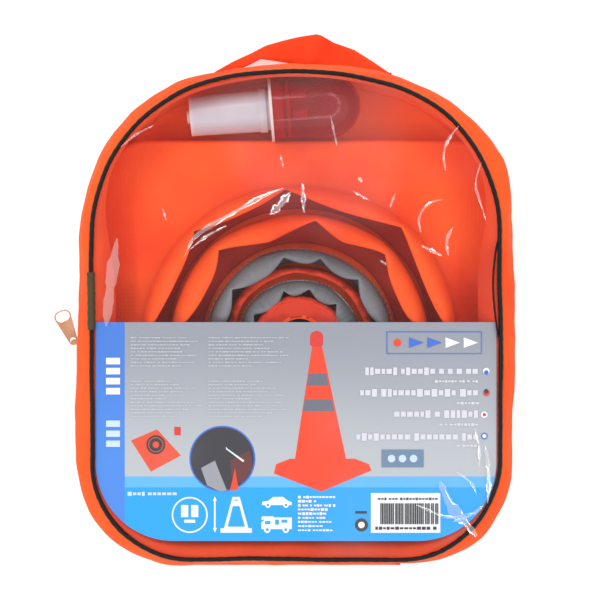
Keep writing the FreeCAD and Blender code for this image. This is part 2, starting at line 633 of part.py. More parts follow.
def add_lamp():
    """Add the lens, its flange and seal, the battery tube and what it holds.

    The lens has stepped rings on its inner wall, which spread the light, and a plain dome.
    """
    bore = "(lens_radius - lens_wall)"
    tip = "(lens_straight + lens_radius)"
    points = [("0", "lens_radius"), ("0", bore)]
    for number in range(LENS_STEPS):
        start = f"(lens_step_start + {number} * lens_step)"
        points += [(start, bore), (f"{start} + lens_step", f"{bore} + lens_step_depth")]
    last = len(points) + 1
    points += [(f"lens_step_start + {LENS_STEPS} * lens_step", bore), ("lens_straight", bore),
               (f"lens_straight + {bore}", "0"), (tip, "0"), ("lens_straight", "lens_radius")]
    turned("lens_dome", points, {last: f"right {bore}", last + 2: "lens_radius"})
    hollow = "tube_hollow"
    front = "(-flange_gap)"
    back = f"({front} - flange_thickness)"
    spigot = f"({bore} - spigot_clearance)"
    groove = f"({bore} - seal_clearance - 2 * seal_section - groove_clearance)"
    low, high = "(seal_place - seal_section - 0.2)", "(seal_place + seal_section + 0.2)"
    turned("lamp_flange", [(back, hollow), ("spigot_length", hollow), ("spigot_length", spigot),
                           (high, spigot), (high, groove), (low, groove), (low, spigot),
                           (front, spigot), (front, "lens_radius"), (back, "lens_radius")])
    seal = new_body("seal_ring")
    section = hexagon("seal_place", f"({bore} - seal_clearance - seal_section)", "seal_section")
    revolve(seal, draw(new_sketch(seal, "XZ_Plane"), section), "H_Axis")
    seat_on_lamp(seal)
    end = f"({back} - tube_length)"
    narrow = "(tube_radius - tube_taper)"
    button = "(button_radius + button_clearance)"
    turned("battery_tube", [(end, narrow), (end, button), (f"{end} + tube_end", button),
                            (f"{end} + tube_end", hollow), (back, hollow), (back, narrow),
                            (f"{back} - rim_start", narrow), (f"{back} - rim_start", "rim_radius"),
                            (f"{back} - rim_start - rim_width", "rim_radius"),
                            (f"{back} - rim_start - rim_width", "tube_radius")])
    add_lamp_insides(end, hollow)


def add_lamp_insides(end, hollow):
    """Add the switch, two cells, their contacts, and the board with its lights."""
    rest = f"({end} + tube_end)"
    turned("switch_button", [(f"{end} - button_rise", "0"), (rest, "0"), (rest, "button_radius"),
                             (f"{end} - button_rise", "button_radius")])
    switch = f"({rest} + button_travel + button_clearance)"
    turned("switch_body", [(switch, "0"), (f"{switch} + switch_length", "0"),
                           (f"{switch} + switch_length", "switch_radius"),
                           (switch, "switch_radius")])
    cell_start = f"({switch} + switch_length + contact_thickness)"
    wide = f"({hollow} - contact_margin)"
    turned("switch_contact", [(f"{cell_start} - contact_thickness", "0"), (cell_start, "0"),
                              (cell_start, wide),
                              (f"{cell_start} - contact_thickness", wide)])
    offset = "(cell_radius + cell_spacing)"
    for number, side in ((1, "-"), (2, "")):
        cell = new_body(f"battery_{number}")
        points = [("0", "0"), ("cell_length", "0"), ("cell_length", "cell_tip"),
                  ("cell_length - cell_tip_length", "cell_tip"),
                  ("cell_length - cell_tip_length", "cell_radius"), ("0", "cell_radius")]
        revolve(cell, draw(new_sketch(cell, "XZ_Plane"), points), "H_Axis")
        back = f"({cell_start} - lens_setback)"
        place(cell, f"lamp_across + {back} * cos(lamp_tilt * 1deg) - {side}{offset} * "
              "sin(lamp_tilt * 1deg)",
              f"lamp_along + {back} * sin(lamp_tilt * 1deg) + {side}{offset} * cos(lamp_tilt * 1deg)",
              "panel_thickness + lamp_clearance + lens_radius", "lamp_tilt")
    board = "(spigot_length + flange_gap)"
    edge = "(lens_radius - lens_wall - spigot_clearance - board_margin)"
    turned("led_board", [(board, "0"), (f"{board} + board_thickness", "0"),
                         (f"{board} + board_thickness", edge), (board, edge)])
    tip = f"({cell_start} + cell_length)"
    turned("board_contact", [(tip, "0"), (board, "0"), (board, "cell_radius"), (tip, "cell_radius")])
    for number in range(LIGHTS):
        light = new_body(f"led_{number + 1}")
        turn = f"{number} * 360 / {LIGHTS}"
        centre = (f"light_circle * cos(({turn}) * 1deg)", f"light_circle * sin(({turn}) * 1deg)")
        start = f"{board} + board_thickness"
        pad(light, draw_circle(new_sketch(light, "YZ_Plane", start), "light_radius", centre),
            "light_height")
        seat_on_lamp(light)


def write_parts():
    """Check every object and write each sub-part's solid."""
    DOC.recompute()
    failed = [f"{item.getParent().Label if item.getParent() else ''}/{item.Name}: {item.State}"
              for item in DOC.Objects if {"Invalid", "Error"} & set(item.State)]
    if failed:
        raise RuntimeError("failed: " + "; ".join(failed))
    os.makedirs("parts", exist_ok=True)
    for item in PARTS:
        shape = item.Shape
        if shape.isNull() or not shape.isValid() or not shape.Solids:
            raise RuntimeError(f"{item.Label} has no valid solid")
        shape.exportStep(f"parts/{item.Label}.step")
        print(f"{item.Label}: {shape.Volume:.1f} mm3, {len(shape.Solids)} solid(s)")


add_bag()
add_zip()
add_hinge()
add_handle()
add_base()
add_cone()
add_lamp()
write_parts()
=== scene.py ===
"""Looks of a folding traffic cone kit: cone, lamp and printed card in a bag with a clear front."""

import logging
import math
from dataclasses import dataclass, field
from enum import Enum
from typing import Any, Callable

import bpy
import numpy as np
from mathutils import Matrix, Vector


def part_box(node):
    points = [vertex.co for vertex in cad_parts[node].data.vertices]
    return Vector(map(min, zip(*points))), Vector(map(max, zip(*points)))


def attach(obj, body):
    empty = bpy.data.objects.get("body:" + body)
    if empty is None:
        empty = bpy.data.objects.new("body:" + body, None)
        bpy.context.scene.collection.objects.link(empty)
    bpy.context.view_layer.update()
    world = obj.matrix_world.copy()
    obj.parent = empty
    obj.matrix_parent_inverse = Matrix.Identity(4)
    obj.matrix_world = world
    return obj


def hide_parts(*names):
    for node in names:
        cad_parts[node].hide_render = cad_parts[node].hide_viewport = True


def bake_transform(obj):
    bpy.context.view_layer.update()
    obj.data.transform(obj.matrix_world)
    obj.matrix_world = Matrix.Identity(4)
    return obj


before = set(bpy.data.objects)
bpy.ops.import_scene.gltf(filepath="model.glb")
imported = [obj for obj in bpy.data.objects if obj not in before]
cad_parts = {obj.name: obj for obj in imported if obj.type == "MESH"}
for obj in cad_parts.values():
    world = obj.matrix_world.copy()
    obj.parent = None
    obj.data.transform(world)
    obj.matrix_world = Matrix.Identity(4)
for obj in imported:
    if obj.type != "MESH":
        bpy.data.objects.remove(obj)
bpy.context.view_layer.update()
LOG = logging.getLogger("cone_kit")
MM = 0.001
TURN = 2 * math.pi
Array = np.ndarray
Colour = tuple[float, float, float]


# ------------------------------------------------------------------ shader values

def _operator(operation: str, turned: bool = False) -> Callable[..., "Value"]:
    """Return a method that adds a Math node; turned puts the other term first."""
    def method(self: "Value", other: Any = None) -> "Value":
        """Return the operation's result as a value."""
        terms = (other, self) if turned else (self, other)
        return self.shader.node("ShaderNodeMath", {"operation": operation}, *terms)

    return method


class Value:
    """A shader node's output, on which arithmetic adds Math nodes."""

    __add__ = __radd__ = _operator("ADD")
    __sub__, __rsub__ = _operator("SUBTRACT"), _operator("SUBTRACT", turned=True)
    __mul__ = __rmul__ = _operator("MULTIPLY")
    __lt__ = _operator("LESS_THAN")
    power, absolute = _operator("POWER"), _operator("ABSOLUTE")

    def __init__(self, shader: "Shader", socket: Any) -> None:
        """Wrap one output socket of a shader's tree."""
        self.shader = shader
        self.socket = socket

    def ramp(self, low: float, high: float, start: float = 0.0, end: float = 1.0) -> "Value":
        """Return self mapped from low..high to start..end, clamped and eased."""
        return self.shader.node("ShaderNodeMapRange", {"interpolation_type": "SMOOTHSTEP"},
                                self, low, high, start, end)


class Shader:
    """The node tree of a material or a world."""

    def __init__(self, name: str, kind: str = "materials") -> None:
        """Start an empty tree; kind is materials or worlds."""
        self.owner = getattr(bpy.data, kind).new(name)
        self.owner.use_nodes = True
        self.tree = self.owner.node_tree
        self.tree.nodes.clear()

    def node(self, kind: str, settings: dict[str, Any], *values: Any, output: Any = 0,
             **named: Any) -> Value | None:
        """Add a node.

        Args:
            kind: The node's type.
            settings: Its own properties, set before its sockets.
            values: Values or links of its input sockets, in order; None skips one.
            output: Index or name of the output to return, or None.
            named: Values or links by socket name, with _ for a space.

        Returns:
            The chosen output, if any.
        """
        node = self.tree.nodes.new(kind)
        for key, setting in settings.items():
            setattr(node, key, setting)
        pairs = [(node.inputs[index], value) for index, value in enumerate(values)]
        pairs += [(node.inputs[key.replace("_", " ")], value) for key, value in named.items()]
        for socket, value in pairs:
            if isinstance(value, Value):
                self.tree.links.new(value.socket, socket)
            elif value is not None:
                socket.default_value = value
        return None if output is None else Value(self, node.outputs[output])

    def place(self, scale: tuple[float, float, float] = (1, 1, 1)) -> Value:
        """Return object coordinates, scaled."""
        here = self.node("ShaderNodeTexCoord", {}, output="Object")
        return self.node("ShaderNodeVectorMath", {"operation": "MULTIPLY"}, here, scale)

    def noise(self, place: Value, scale: float, detail: float = 3.0) -> Value:
        """Return smooth noise; scale is in features per metre."""
        return self.node("ShaderNodeTexNoise", {}, Vector=place, Scale=scale, Detail=detail)

    def mark(self, name: str) -> Value:
        """Return a share that is painted on the mesh."""
        return self.node("ShaderNodeAttribute", {"attribute_name": name}, output="Fac")

    def part(self, place: Value, axis: str) -> Value:
        """Return one of a vector's X, Y and Z."""
        return self.node("ShaderNodeSeparateXYZ", {}, place, output=axis)

    def seen(self) -> Value:
        """Return 1 for what the camera sees, plainly, in gloss or through clear plastic."""
        plain, glossy, through = (self.node("ShaderNodeLightPath", {}, output=f"Is {kind} Ray")
                                  for kind in ("Camera", "Glossy", "Transmission"))
        return self.node("ShaderNodeMath", {"operation": "ADD", "use_clamp": True},
                         plain + glossy, through)

    def blend(self, share: Any, first: Any, second: Any) -> Value:
        """Return a colour between two, by share."""
        tints = [(*tint, 1.0) if isinstance(tint, tuple) else tint for tint in (first, second)]
        other_sockets = [None] * 5
        return self.node("ShaderNodeMix", {"data_type": "RGBA"}, share, *other_sockets, *tints,
                         output=2)

    def mix(self, share: Value, first: Value, second: Value) -> bpy.types.ID:
        """Finish with a surface between two, by share."""
        return self.finish(self.node("ShaderNodeMixShader", {}, share, first, second))

    def bump(self, height: Value, strength: float, distance: float) -> Value:
        """Return a normal bent by a height."""
        return self.node("ShaderNodeBump", {}, Strength=strength, Distance=distance, Height=height)

    def surface(self, colour: Any, roughness: Any = 0.6, **named: Any) -> Value:
        """Return a Principled surface of a colour."""
        tint = (*colour, 1.0) if isinstance(colour, tuple) else colour
        return self.node("ShaderNodeBsdfPrincipled", {}, Base_Color=tint, Roughness=roughness,
                         **named)

    def finish(self, surface: Value) -> bpy.types.ID:
        """Connect the surface to the output and return the tree's owner."""
        kind = "World" if isinstance(self.owner, bpy.types.World) else "Material"
        self.node(f"ShaderNodeOutput{kind}", {}, surface, output=None)
        return self.owner


def srgb(*levels: int) -> Colour:
    """Return a colour given as 0..255 in linear light."""
    shares = (level / 255 for level in levels)
    return tuple(share / 12.92 if share <= 0.04045 else ((share + 0.055) / 1.055) ** 2.4
                 for share in shares)


# ------------------------------------------------------------------ finishes

@dataclass(frozen=True)
class Cloth:
    """Woven bag or cone cloth with a plain weave, soft creases and a slight sheen."""

    name: str
    colour: Colour
    deep: Colour
    thread: float = 0.45 * MM
    roughness: float = 0.7
    crease: float = 0.5
    # painted shade: the colour blended in where the inside mark is set, standing for the shade deep in
    # the cone's folds
    inside: Colour | None = None

    def material(self) -> bpy.types.Material:
        """Build the material."""
        shader = Shader(self.name)
        here = shader.place()
        cloudy, fine = shader.noise(here, 18.0, 4.0), shader.noise(here, 900.0, 2.0)
        warp, weft = (shader.node(
            "ShaderNodeTexWave", {"wave_type": "BANDS", "bands_direction": direction},
            here, 1 / self.thread / 20, 0.6, 1.0, 2.0, output="Fac") for direction in "XY")
        weave = warp * weft
        creases = (shader.noise(here, 55.0, 5.0) - 0.5).absolute()
        colour = shader.blend(cloudy.ramp(0.35, 0.75), self.colour, self.deep)
        tone = shader.blend(weave * 0.05 + fine * 0.05, colour, self.deep)
        # painted shade: blend towards the inside colour where the mesh's inside mark is set
        if self.inside:
            tone = shader.blend(shader.mark("inside"), tone, self.inside)
        normal = shader.bump(weave * 0.10 + fine * 0.08 + creases * self.crease, 0.5, 1.2 * MM)
        return shader.finish(shader.surface(tone, cloudy * 0.12 + (self.roughness - 0.06),
                                            Normal=normal, Specular_IOR_Level=0.2))


@dataclass(frozen=True)
class Film:
    """Clear soft plastic: mostly see-through, with a wet gloss over fine buckles."""

    name: str = "clear_film"
    gloss: float = 0.016
    rim_gloss: float = 0.25
    veil: float = 0.04
    roughness: float = 0.06

    def material(self) -> bpy.types.Material:
        """Build the material."""
        shader = Shader(self.name)
        here = shader.place()
        normal = shader.bump(shader.noise(here, 70.0, 2.0), 0.25, 2.0 * MM)
        facing = shader.node("ShaderNodeLayerWeight", {}, 0.25, output="Facing")
        clear = shader.node("ShaderNodeBsdfTransparent", {}, (0.985, 0.985, 0.99, 1.0))
        shine = shader.surface((1.0, 1.0, 1.0), self.roughness, Metallic=1.0, Normal=normal)
        veil = shader.noise(here, 11.0, 2.0).ramp(0.5, 0.72) * self.veil
        share = facing.power(3.0) * self.rim_gloss + veil + self.gloss
        return shader.mix(share, clear, shine)


@dataclass(frozen=True)
class Plastic:
    """Moulded plastic with a faint grain and small changes of gloss."""

    name: str
    colour: Colour
    roughness: float = 0.4
    grain: float = 400.0
    coat: float = 0.0
    inner_light: float = 0.0
    specular: float = 0.5

    def material(self) -> bpy.types.Material:
        """Build the material."""
        shader = Shader(self.name)
        here = shader.place()
        grain = shader.noise(here, self.grain, 3.0)
        patches = shader.noise(here, 35.0, 3.0)
        dull = tuple(level * 0.86 for level in self.colour)
        colour = shader.blend(patches.ramp(0.3, 0.8), self.colour, dull)
        rough = patches * 0.14 + grain * 0.05 + (self.roughness - 0.09)
        return shader.finish(shader.surface(
            colour, rough, Normal=shader.bump(grain, 0.15, 0.15 * MM), Coat_Weight=self.coat,
            Subsurface_Weight=self.inner_light, Specular_IOR_Level=self.specular))


@dataclass(frozen=True)
class Metal:
    """Plated metal with fine brushing and rubbed patches."""

    name: str
    colour: Colour
    roughness: float = 0.3

    def material(self) -> bpy.types.Material:
        """Build the material."""
        shader = Shader(self.name)
        brushed = shader.noise(shader.place(scale=(1, 12, 1)), 260.0, 3.0)
        patches = shader.noise(shader.place(), 120.0, 3.0)
        dull = tuple(level * 0.6 for level in self.colour)
        colour = shader.blend(patches.ramp(0.35, 0.8), self.colour, dull)
        rough = brushed * 0.2 + patches * 0.15 + (self.roughness - 0.15)
        return shader.finish(shader.surface(
            colour, rough, Metallic=1.0, Normal=shader.bump(brushed, 0.2, 0.1 * MM)))


@dataclass(frozen=True)
class TintedLens:
    """Deep red clear plastic that lets what lies inside show darkly."""

    name: str = "red_lens"
    colour: Colour = srgb(206, 22, 24)
    tint: Colour = (0.86, 0.15, 0.15)
    share: float = 0.3

    def material(self) -> bpy.types.Material:
        """Build the material."""
        shader = Shader(self.name)
        patches = shader.noise(shader.place(), 60.0, 3.0)
        body = shader.surface(self.colour, patches * 0.06 + 0.08, Coat_Weight=0.8)
        clear = shader.node("ShaderNodeBsdfTransparent", {}, (*self.tint, 1.0))
        share = patches.ramp(0.2, 0.8, self.share - 0.05, self.share + 0.05)
        return shader.mix(share, clear, body)


@dataclass(frozen=True)
class Ink:
    """One flat printing ink with a faint screen pattern, under a satin varnish."""

    name: str
    colour: Colour
    varnish: float = 0.25

    def material(self) -> bpy.types.Material:
        """Build the material."""
        shader = Shader(self.name)
        screen = shader.noise(shader.place(), 1500.0, 1.0)
        lighter = tuple(min(1.0, level * 1.08 + 0.01) for level in self.colour)
        colour = shader.blend(screen, self.colour, lighter)
        return shader.finish(shader.surface(colour, screen * 0.1 + 0.35,
                                            Coat_Weight=self.varnish))


@dataclass(frozen=True)
class CardStock:
    """The card's own print: a silver ground that lightens downwards, with blue bands."""

    low: float
    high: float
    left: float
    right: float
    face: float
    sky_top: float = 0.295
    cyan_top: float = 0.245
    side_band: float = 0.073
    name: str = "card_stock"
    silver: Colour = srgb(144, 148, 160)
    pale: Colour = srgb(186, 191, 196)
    sky: Colour = srgb(92, 182, 246)
    cyan: Colour = srgb(0, 164, 250)
    blue_top: Colour = srgb(58, 120, 214)
    blue_foot: Colour = srgb(66, 136, 228)
    backing: Colour = srgb(214, 214, 210)

    def material(self) -> bpy.types.Material:
        """Build the material."""
        shader = Shader(self.name)
        here = shader.place()
        across, along = shader.part(here, "X"), shader.part(here, "Y")
        span = self.high - self.low
        share = along.ramp(self.low + 0.3 * span, self.high)
        grain = shader.noise(here, 700.0, 2.0)
        ground = shader.blend(share, self.pale, self.silver)
        ground = shader.blend(grain * 0.15, ground, self.pale)
        side = shader.blend(share, self.blue_foot, self.blue_top)
        ground = shader.blend(along < self.low + self.sky_top * span, ground, self.sky)
        ground = shader.blend(along < self.low + self.cyan_top * span, ground, self.cyan)
        band = across < self.left + self.side_band * (self.right - self.left)
        ground = shader.blend(band, ground, side)
        ground = shader.blend(shader.part(here, "Z") < self.face - 0.1 * MM, ground, self.backing)
        return shader.finish(shader.surface(ground, grain * 0.1 + 0.32, Coat_Weight=0.3))


# painted shade: the maroon that stands for the deep shade on the inner walls and floors of the cone's
# folds
PAINTED_FOLD_SHADE = srgb(160, 36, 26)
BAG_CLOTH = Cloth("bag_cloth", srgb(255, 98, 36), srgb(250, 82, 28), crease=0.35)
COVER_CLOTH = Cloth("cover_cloth", srgb(255, 92, 34), srgb(246, 66, 24), thread=0.35 * MM,
                    crease=1.1)
# the cone's cloths paint shade on their folds' inner walls and floors through their inside colour
CONE_CLOTH = Cloth("cone_cloth", srgb(255, 92, 34), srgb(246, 64, 24), thread=0.35 * MM,
                   crease=1.1, inside=PAINTED_FOLD_SHADE)
# painted shade: a darker copy of the cone cloth, standing for the shade on the two innermost orange
# folds
SHADED_CONE_CLOTH = Cloth("shaded_cone_cloth", srgb(230, 66, 38), srgb(214, 56, 34), thread=0.35 * MM,
                   crease=0.5, inside=PAINTED_FOLD_SHADE)
# painted shade: the silver cloth's inside colour stands for the shade deep in the silver folds
SILVER_CLOTH = Cloth("silver_cloth", srgb(128, 127, 131), srgb(98, 100, 104), thread=0.25 * MM,
                     roughness=0.45, crease=0.3, inside=srgb(84, 62, 62))
HANDLE_CLOTH = Cloth("handle_cloth", srgb(255, 78, 30), srgb(238, 60, 22), thread=0.9 * MM)
BLACK_CORD = Plastic("black_piping", srgb(8, 7, 7), 0.36, 900.0, specular=0.22)
OLIVE_SLEEVE = Plastic("piping_binding", srgb(66, 56, 30), 0.5, 900.0, specular=0.3)
# painted shade: a darker copy of the bag cloth, standing for the shade under the clear front's edge
SHADED_LINING_CLOTH = Cloth("shaded_lining_cloth", srgb(240, 80, 36), srgb(214, 62, 34), crease=0.4)
ZIP_TAPE = Cloth("zip_tape", srgb(244, 82, 34), srgb(222, 66, 30), thread=0.3 * MM, crease=0.2)
THREAD = Plastic("seam_thread", srgb(112, 78, 66), 0.7, 900.0)
RUBBER = Plastic("rubber", srgb(20, 20, 21), 0.7)
ZIP_PLASTIC = Plastic("zip_coil", srgb(236, 74, 34), 0.45, 1500.0)
# finishes of the CAD pieces that stay in view or may come into view
NODE_FINISHES = (
    (TintedLens(), "lens_dome"),
    (Plastic("milky_tube", srgb(232, 208, 210), 0.42, 300.0, coat=0.2, inner_light=0.3),
     "battery_tube"),
    (Plastic("white_flange", srgb(236, 216, 210), 0.4, 300.0), "lamp_flange", "switch_button"),
    (RUBBER, "seal_ring", *(f"base_foot_{number}" for number in range(1, 5))),
    (Plastic("black_plastic", srgb(28, 28, 30), 0.5), "switch_body", "base_tray"),
    (Metal("contact_steel", srgb(190, 190, 192)), "switch_contact", "board_contact",
     *(f"spring_turn_{number}" for number in range(1, 7))),
    (Plastic("cell_wrap", srgb(40, 42, 48), 0.3), "battery_1", "battery_2"),
    (Plastic("board", srgb(22, 82, 44), 0.45), "led_board"),
    (Plastic("diode", srgb(240, 236, 226), 0.15, coat=0.5), "led_1", "led_2", "led_3"),
    (COVER_CLOTH, "lamp_collar"),
    (ZIP_PLASTIC, "zip_stop_left", "zip_stop_right"),
    (Metal("coppered_metal", srgb(206, 150, 120), 0.38), "zip_slider", "slider_bridge",
     "zip_pull_tab"),
)


class Slot(Enum):
    """Material slots of the pieces modelled here."""

    ORANGE = "orange_cloth"
    SILVER = "silver_cloth"
    FILM = "clear_film"
    CORD = "black_cord"
    ZIP = "zip_plastic"
    CARD = "printed_card"


# ------------------------------------------------------------------ modelling

def select(*pieces: bpy.types.Object) -> None:
    """Select only the given pieces; the first is the active one."""
    bpy.ops.object.select_all(action="DESELECT")
    for piece in pieces:
        piece.select_set(True)
    if pieces:
        bpy.context.view_layer.objects.active = pieces[0]


def coordinates(piece: bpy.types.Object) -> Array:
    """Return a mesh's points as rows."""
    flat = np.empty(len(piece.data.vertices) * 3)
    piece.data.vertices.foreach_get("co", flat)
    return flat.reshape(-1, 3)


def move_points(piece: bpy.types.Object, places: Array) -> None:
    """Put a mesh's points at new places."""
    piece.data.vertices.foreach_set("co", np.ascontiguousarray(places, float).ravel())
    piece.data.update()


def close_and_turn_out(piece: bpy.types.Object, gap: float = 0.01 * MM) -> None:
    """Merge points that meet and make every face point outwards."""
    select(piece)
    bpy.ops.object.mode_set(mode="EDIT")
    bpy.ops.mesh.select_all(action="SELECT")
    bpy.ops.mesh.remove_doubles(threshold=gap)
    bpy.ops.mesh.dissolve_degenerate(threshold=0.001 * MM)
    bpy.ops.mesh.normals_make_consistent(inside=False)
    bpy.ops.object.mode_set(mode="OBJECT")


def modify(piece: bpy.types.Object, kind: str, **settings: Any) -> None:
    """Add a modifier and apply it."""
    modifier = piece.modifiers.new(kind.title(), kind)
    for key, setting in settings.items():
        setattr(modifier, key, setting)
    select(piece)
    bpy.ops.object.modifier_apply(modifier=modifier.name)


def surface_of(name: str, columns: int, rows: int, shape: Callable[[Array, Array], Array],
               thickness: float = 0.0, inside: Callable[[Array], Array] | None = None
               ) -> bpy.types.Object:
    """Model a surface from a grid whose points are moved by a rule.

    Args:
        name: The piece's name.
        columns: Steps along u, which runs round the piece.
        rows: Steps along v, which runs across it.
        shape: Rule that takes u and v, each 0 to 1, and returns the places.
        thickness: Wall thickness added inwards, if any.
        inside: Rule for the share of the dark inner tone at each v; this tone is painted shade,
            standing for the shade deep in a fold.

    Returns:
        The new piece.
    """
    select()
    bpy.ops.mesh.primitive_grid_add(x_subdivisions=columns, y_subdivisions=rows, size=1)
    piece = bpy.context.object
    piece.name = piece.data.name = name
    flat = coordinates(piece)
    move_points(piece, shape(flat[:, 0] + 0.5, flat[:, 1] + 0.5))
    # painted shade: the inside mark holds the share of painted fold shade at each point
    if inside:
        layer = piece.data.attributes.new("inside", "FLOAT", "POINT")
        layer.data.foreach_set("value", inside(flat[:, 1] + 0.5))
    close_and_turn_out(piece)
    if thickness:
        modify(piece, "SOLIDIFY", thickness=thickness, offset=-1.0)
    piece.data.shade_smooth()
    return piece


def dress(piece: bpy.types.Object, finish: Any, body: str, slot: Slot, *stands_for: str) -> None:
    """Give a piece its finish and body, and hide the nodes that it stands for."""
    if finish:
        piece.data.materials.append(finish.material())
    if body:
        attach(piece, body)
    if stands_for:
        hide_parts(*stands_for)
    LOG.info("%s: %d faces", piece.name, len(piece.data.polygons))


def paint_node(name: str, material: bpy.types.Material) -> None:
    """Give a CAD node a finish."""
    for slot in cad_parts[name].material_slots:
        slot.material = material


def swing(angle: Array, seed: int, counts: tuple[int, ...], size: float) -> Array:
    """Return a gentle wave round a ring, made of a few whole counts.

    Args:
        angle: Angles in radians.
        seed: Picks the phases.
        counts: Waves per turn of each part.
        size: Height of the first part; the others shrink by their share of the counts.

    Returns:
        The wave's height at each angle.
    """
    phases = np.random.default_rng(seed).uniform(0, TURN, len(counts))
    parts = [np.sin(count * angle + phase) * size * counts[0] / count
             for count, phase in zip(counts, phases)]
    return sum(parts)


def ease(values: Array) -> Array:
    """Return a smooth step from 0 to 1."""
    share = np.clip(values, 0, 1)
    return share * share * (3 - 2 * share)


# ------------------------------------------------------------------ outlines

def along_line(line: Array, share: Array) -> Array:
    """Return points at shares of the way along a line of points."""
    steps = np.concatenate([[0], np.cumsum(np.linalg.norm(np.diff(line, axis=0), axis=1))])
    where = share * steps[-1]
    return np.stack([np.interp(where, steps, column) for column in line.T], 1)


def outward(trace: Callable[[Array], Array], share: Array, reach: float) -> Array:
    """Return unit steps to the right of a path.

    Args:
        trace: Rule that takes shares of the way along the path and returns points.
        share: Where the steps start.
        reach: Half the share over which the path's direction is taken.

    Returns:
        One step for each share.
    """
    ahead = trace(share + reach) - trace(share - reach)
    ahead /= np.linalg.norm(ahead, axis=1)[:, None]
    return np.stack([ahead[:, 1], -ahead[:, 0]], 1)


def boxy(turn: Array, across: float, through: float) -> tuple[Array, Array]:
    """Return a soft box's section, -1 to 1 each way; lower powers give sharper corners."""
    wide, thick = np.cos(turn), np.sin(turn)
    return (np.sign(wide) * np.abs(wide) ** across, np.sign(thick) * np.abs(thick) ** through)


@dataclass(frozen=True)
class Arch:
    """The bag's rounded arch: straight sides and foot, round corners, a flatter crown."""

    half: float
    top: float
    bottom: float
    corner: float
    shoulder: float
    crown: float

    def inset(self, depth: float) -> "Arch":
        """Return the arch drawn in by a depth."""
        return Arch(*(getattr(self, part) - depth for part in
                      ("half", "top", "bottom", "corner", "shoulder", "crown")))

    def towards(self, other: "Arch", share: float) -> "Arch":
        """Return the arch part of the way to another."""
        return Arch(*(getattr(self, part) * (1 - share) + getattr(other, part) * share
                      for part in ("half", "top", "bottom", "corner", "shoulder", "crown")))

    def dense(self) -> Array:
        """Return closely spaced points anticlockwise from the middle of the foot."""
        middle = self.top - self.crown
        high = middle + math.sqrt((self.crown - self.shoulder) ** 2
                                  - (self.half - self.shoulder) ** 2)
        turn = math.atan2(high - middle, self.half - self.shoulder)

        def arc(x: float, y: float, radius: float, first: float, last: float) -> Array:
            """Return points along an arc."""
            angle = np.linspace(first, last, 160)
            return np.stack([x + radius * np.cos(angle), y + radius * np.sin(angle)], 1)

        right = [np.array([[0.0, -self.bottom]]),
                 arc(self.half - self.corner, self.corner - self.bottom, self.corner,
                     -math.pi / 2, 0),
                 arc(self.half - self.shoulder, high, self.shoulder, 0, turn),
                 arc(0, middle, self.crown, turn, math.pi / 2)]
        half = np.concatenate(right)
        return np.concatenate([half, half[-2::-1] * (-1, 1)])

    def trace(self, share: Array) -> Array:
        """Return points at shares of the way round."""
        return along_line(self.dense(), share)

    def out(self, share: Array) -> Array:
        """Return unit steps out of the outline at shares of the way round."""
        return outward(lambda place: self.trace(np.mod(place, 1)), share, 0.0005)

    def share_at(self, x: float, y: float) -> float:
        """Return the share of the way round that is nearest to a point."""
        shares = np.linspace(0, 1, 4001)
        return float(shares[np.argmin(np.linalg.norm(self.trace(shares) - (x, y), axis=1))])


def node_arch(node: str, corner: float, shoulder: float, crown: float) -> Arch:
    """Return the arch that a CAD node fills, with its three radii."""
    low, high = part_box(node)
    return Arch(high.x, high.y, -low.y, corner, shoulder, crown)


WIDEST = node_arch("back_gusset", 60 * MM, 92 * MM, 190 * MM)
FRONT = node_arch("front_piping", 55.5 * MM, 86.5 * MM, 185.5 * MM).inset(0.5 * MM)
BASE_LOW, BASE_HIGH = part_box("base_tray")
CENTRE = ((BASE_LOW.x + BASE_HIGH.x) / 2, (BASE_LOW.y + BASE_HIGH.y) / 2)


# ------------------------------------------------------------------ bag

SWELL_ANGLES = (-180, -141, -132, -121, -90, -58, -50, -42, -32, -18, 4, 24, 31, 37, 42, 48, 54,
                63, 78, 100, 120, 129, 139, 152, 163, 172, 180)
SWELL = (0, 1.6, 2.0, 0.9, 0.2, 0.4, 1.2, 0, -1.2, -0.4, 0.4, -0.8, 1.8, 4.6, 4.2, 3.2, 2.6,
         1.6, 0.4, 0.4, 1.2, 1.9, 0.6, -1.8, -1.2, -0.3, 0)


def swell(plan: Array, height: Array) -> Array:
    """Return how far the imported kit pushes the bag's wall out from its even outline.

    Args:
        plan: Points of the wall seen from the front.
        height: Their heights.

    Returns:
        Outward distances, which fade towards the back panel and the clear front.
    """
    angle = np.degrees(np.arctan2(plan[:, 1], plan[:, 0]))
    push = np.interp(angle, SWELL_ANGLES, SWELL) * MM
    fade = ease((height - 2 * MM) / (9 * MM)) * ease((42 * MM - height) / (9 * MM))
    return push * fade


def rounded(line: Array) -> Array:
    """Return a line of points with its corners cut once."""
    start, end = line[:-1], line[1:]
    cut = np.stack([start * 0.75 + end * 0.25, start * 0.25 + end * 0.75], 1).reshape(-1, 2)
    return np.concatenate([line[:1], cut, line[-1:]])


def join(name: str, pieces: list[bpy.types.Object]) -> bpy.types.Object:
    """Join pieces into one."""
    select(*pieces)
    bpy.ops.object.join()
    pieces[0].name = pieces[0].data.name = name
    return pieces[0]


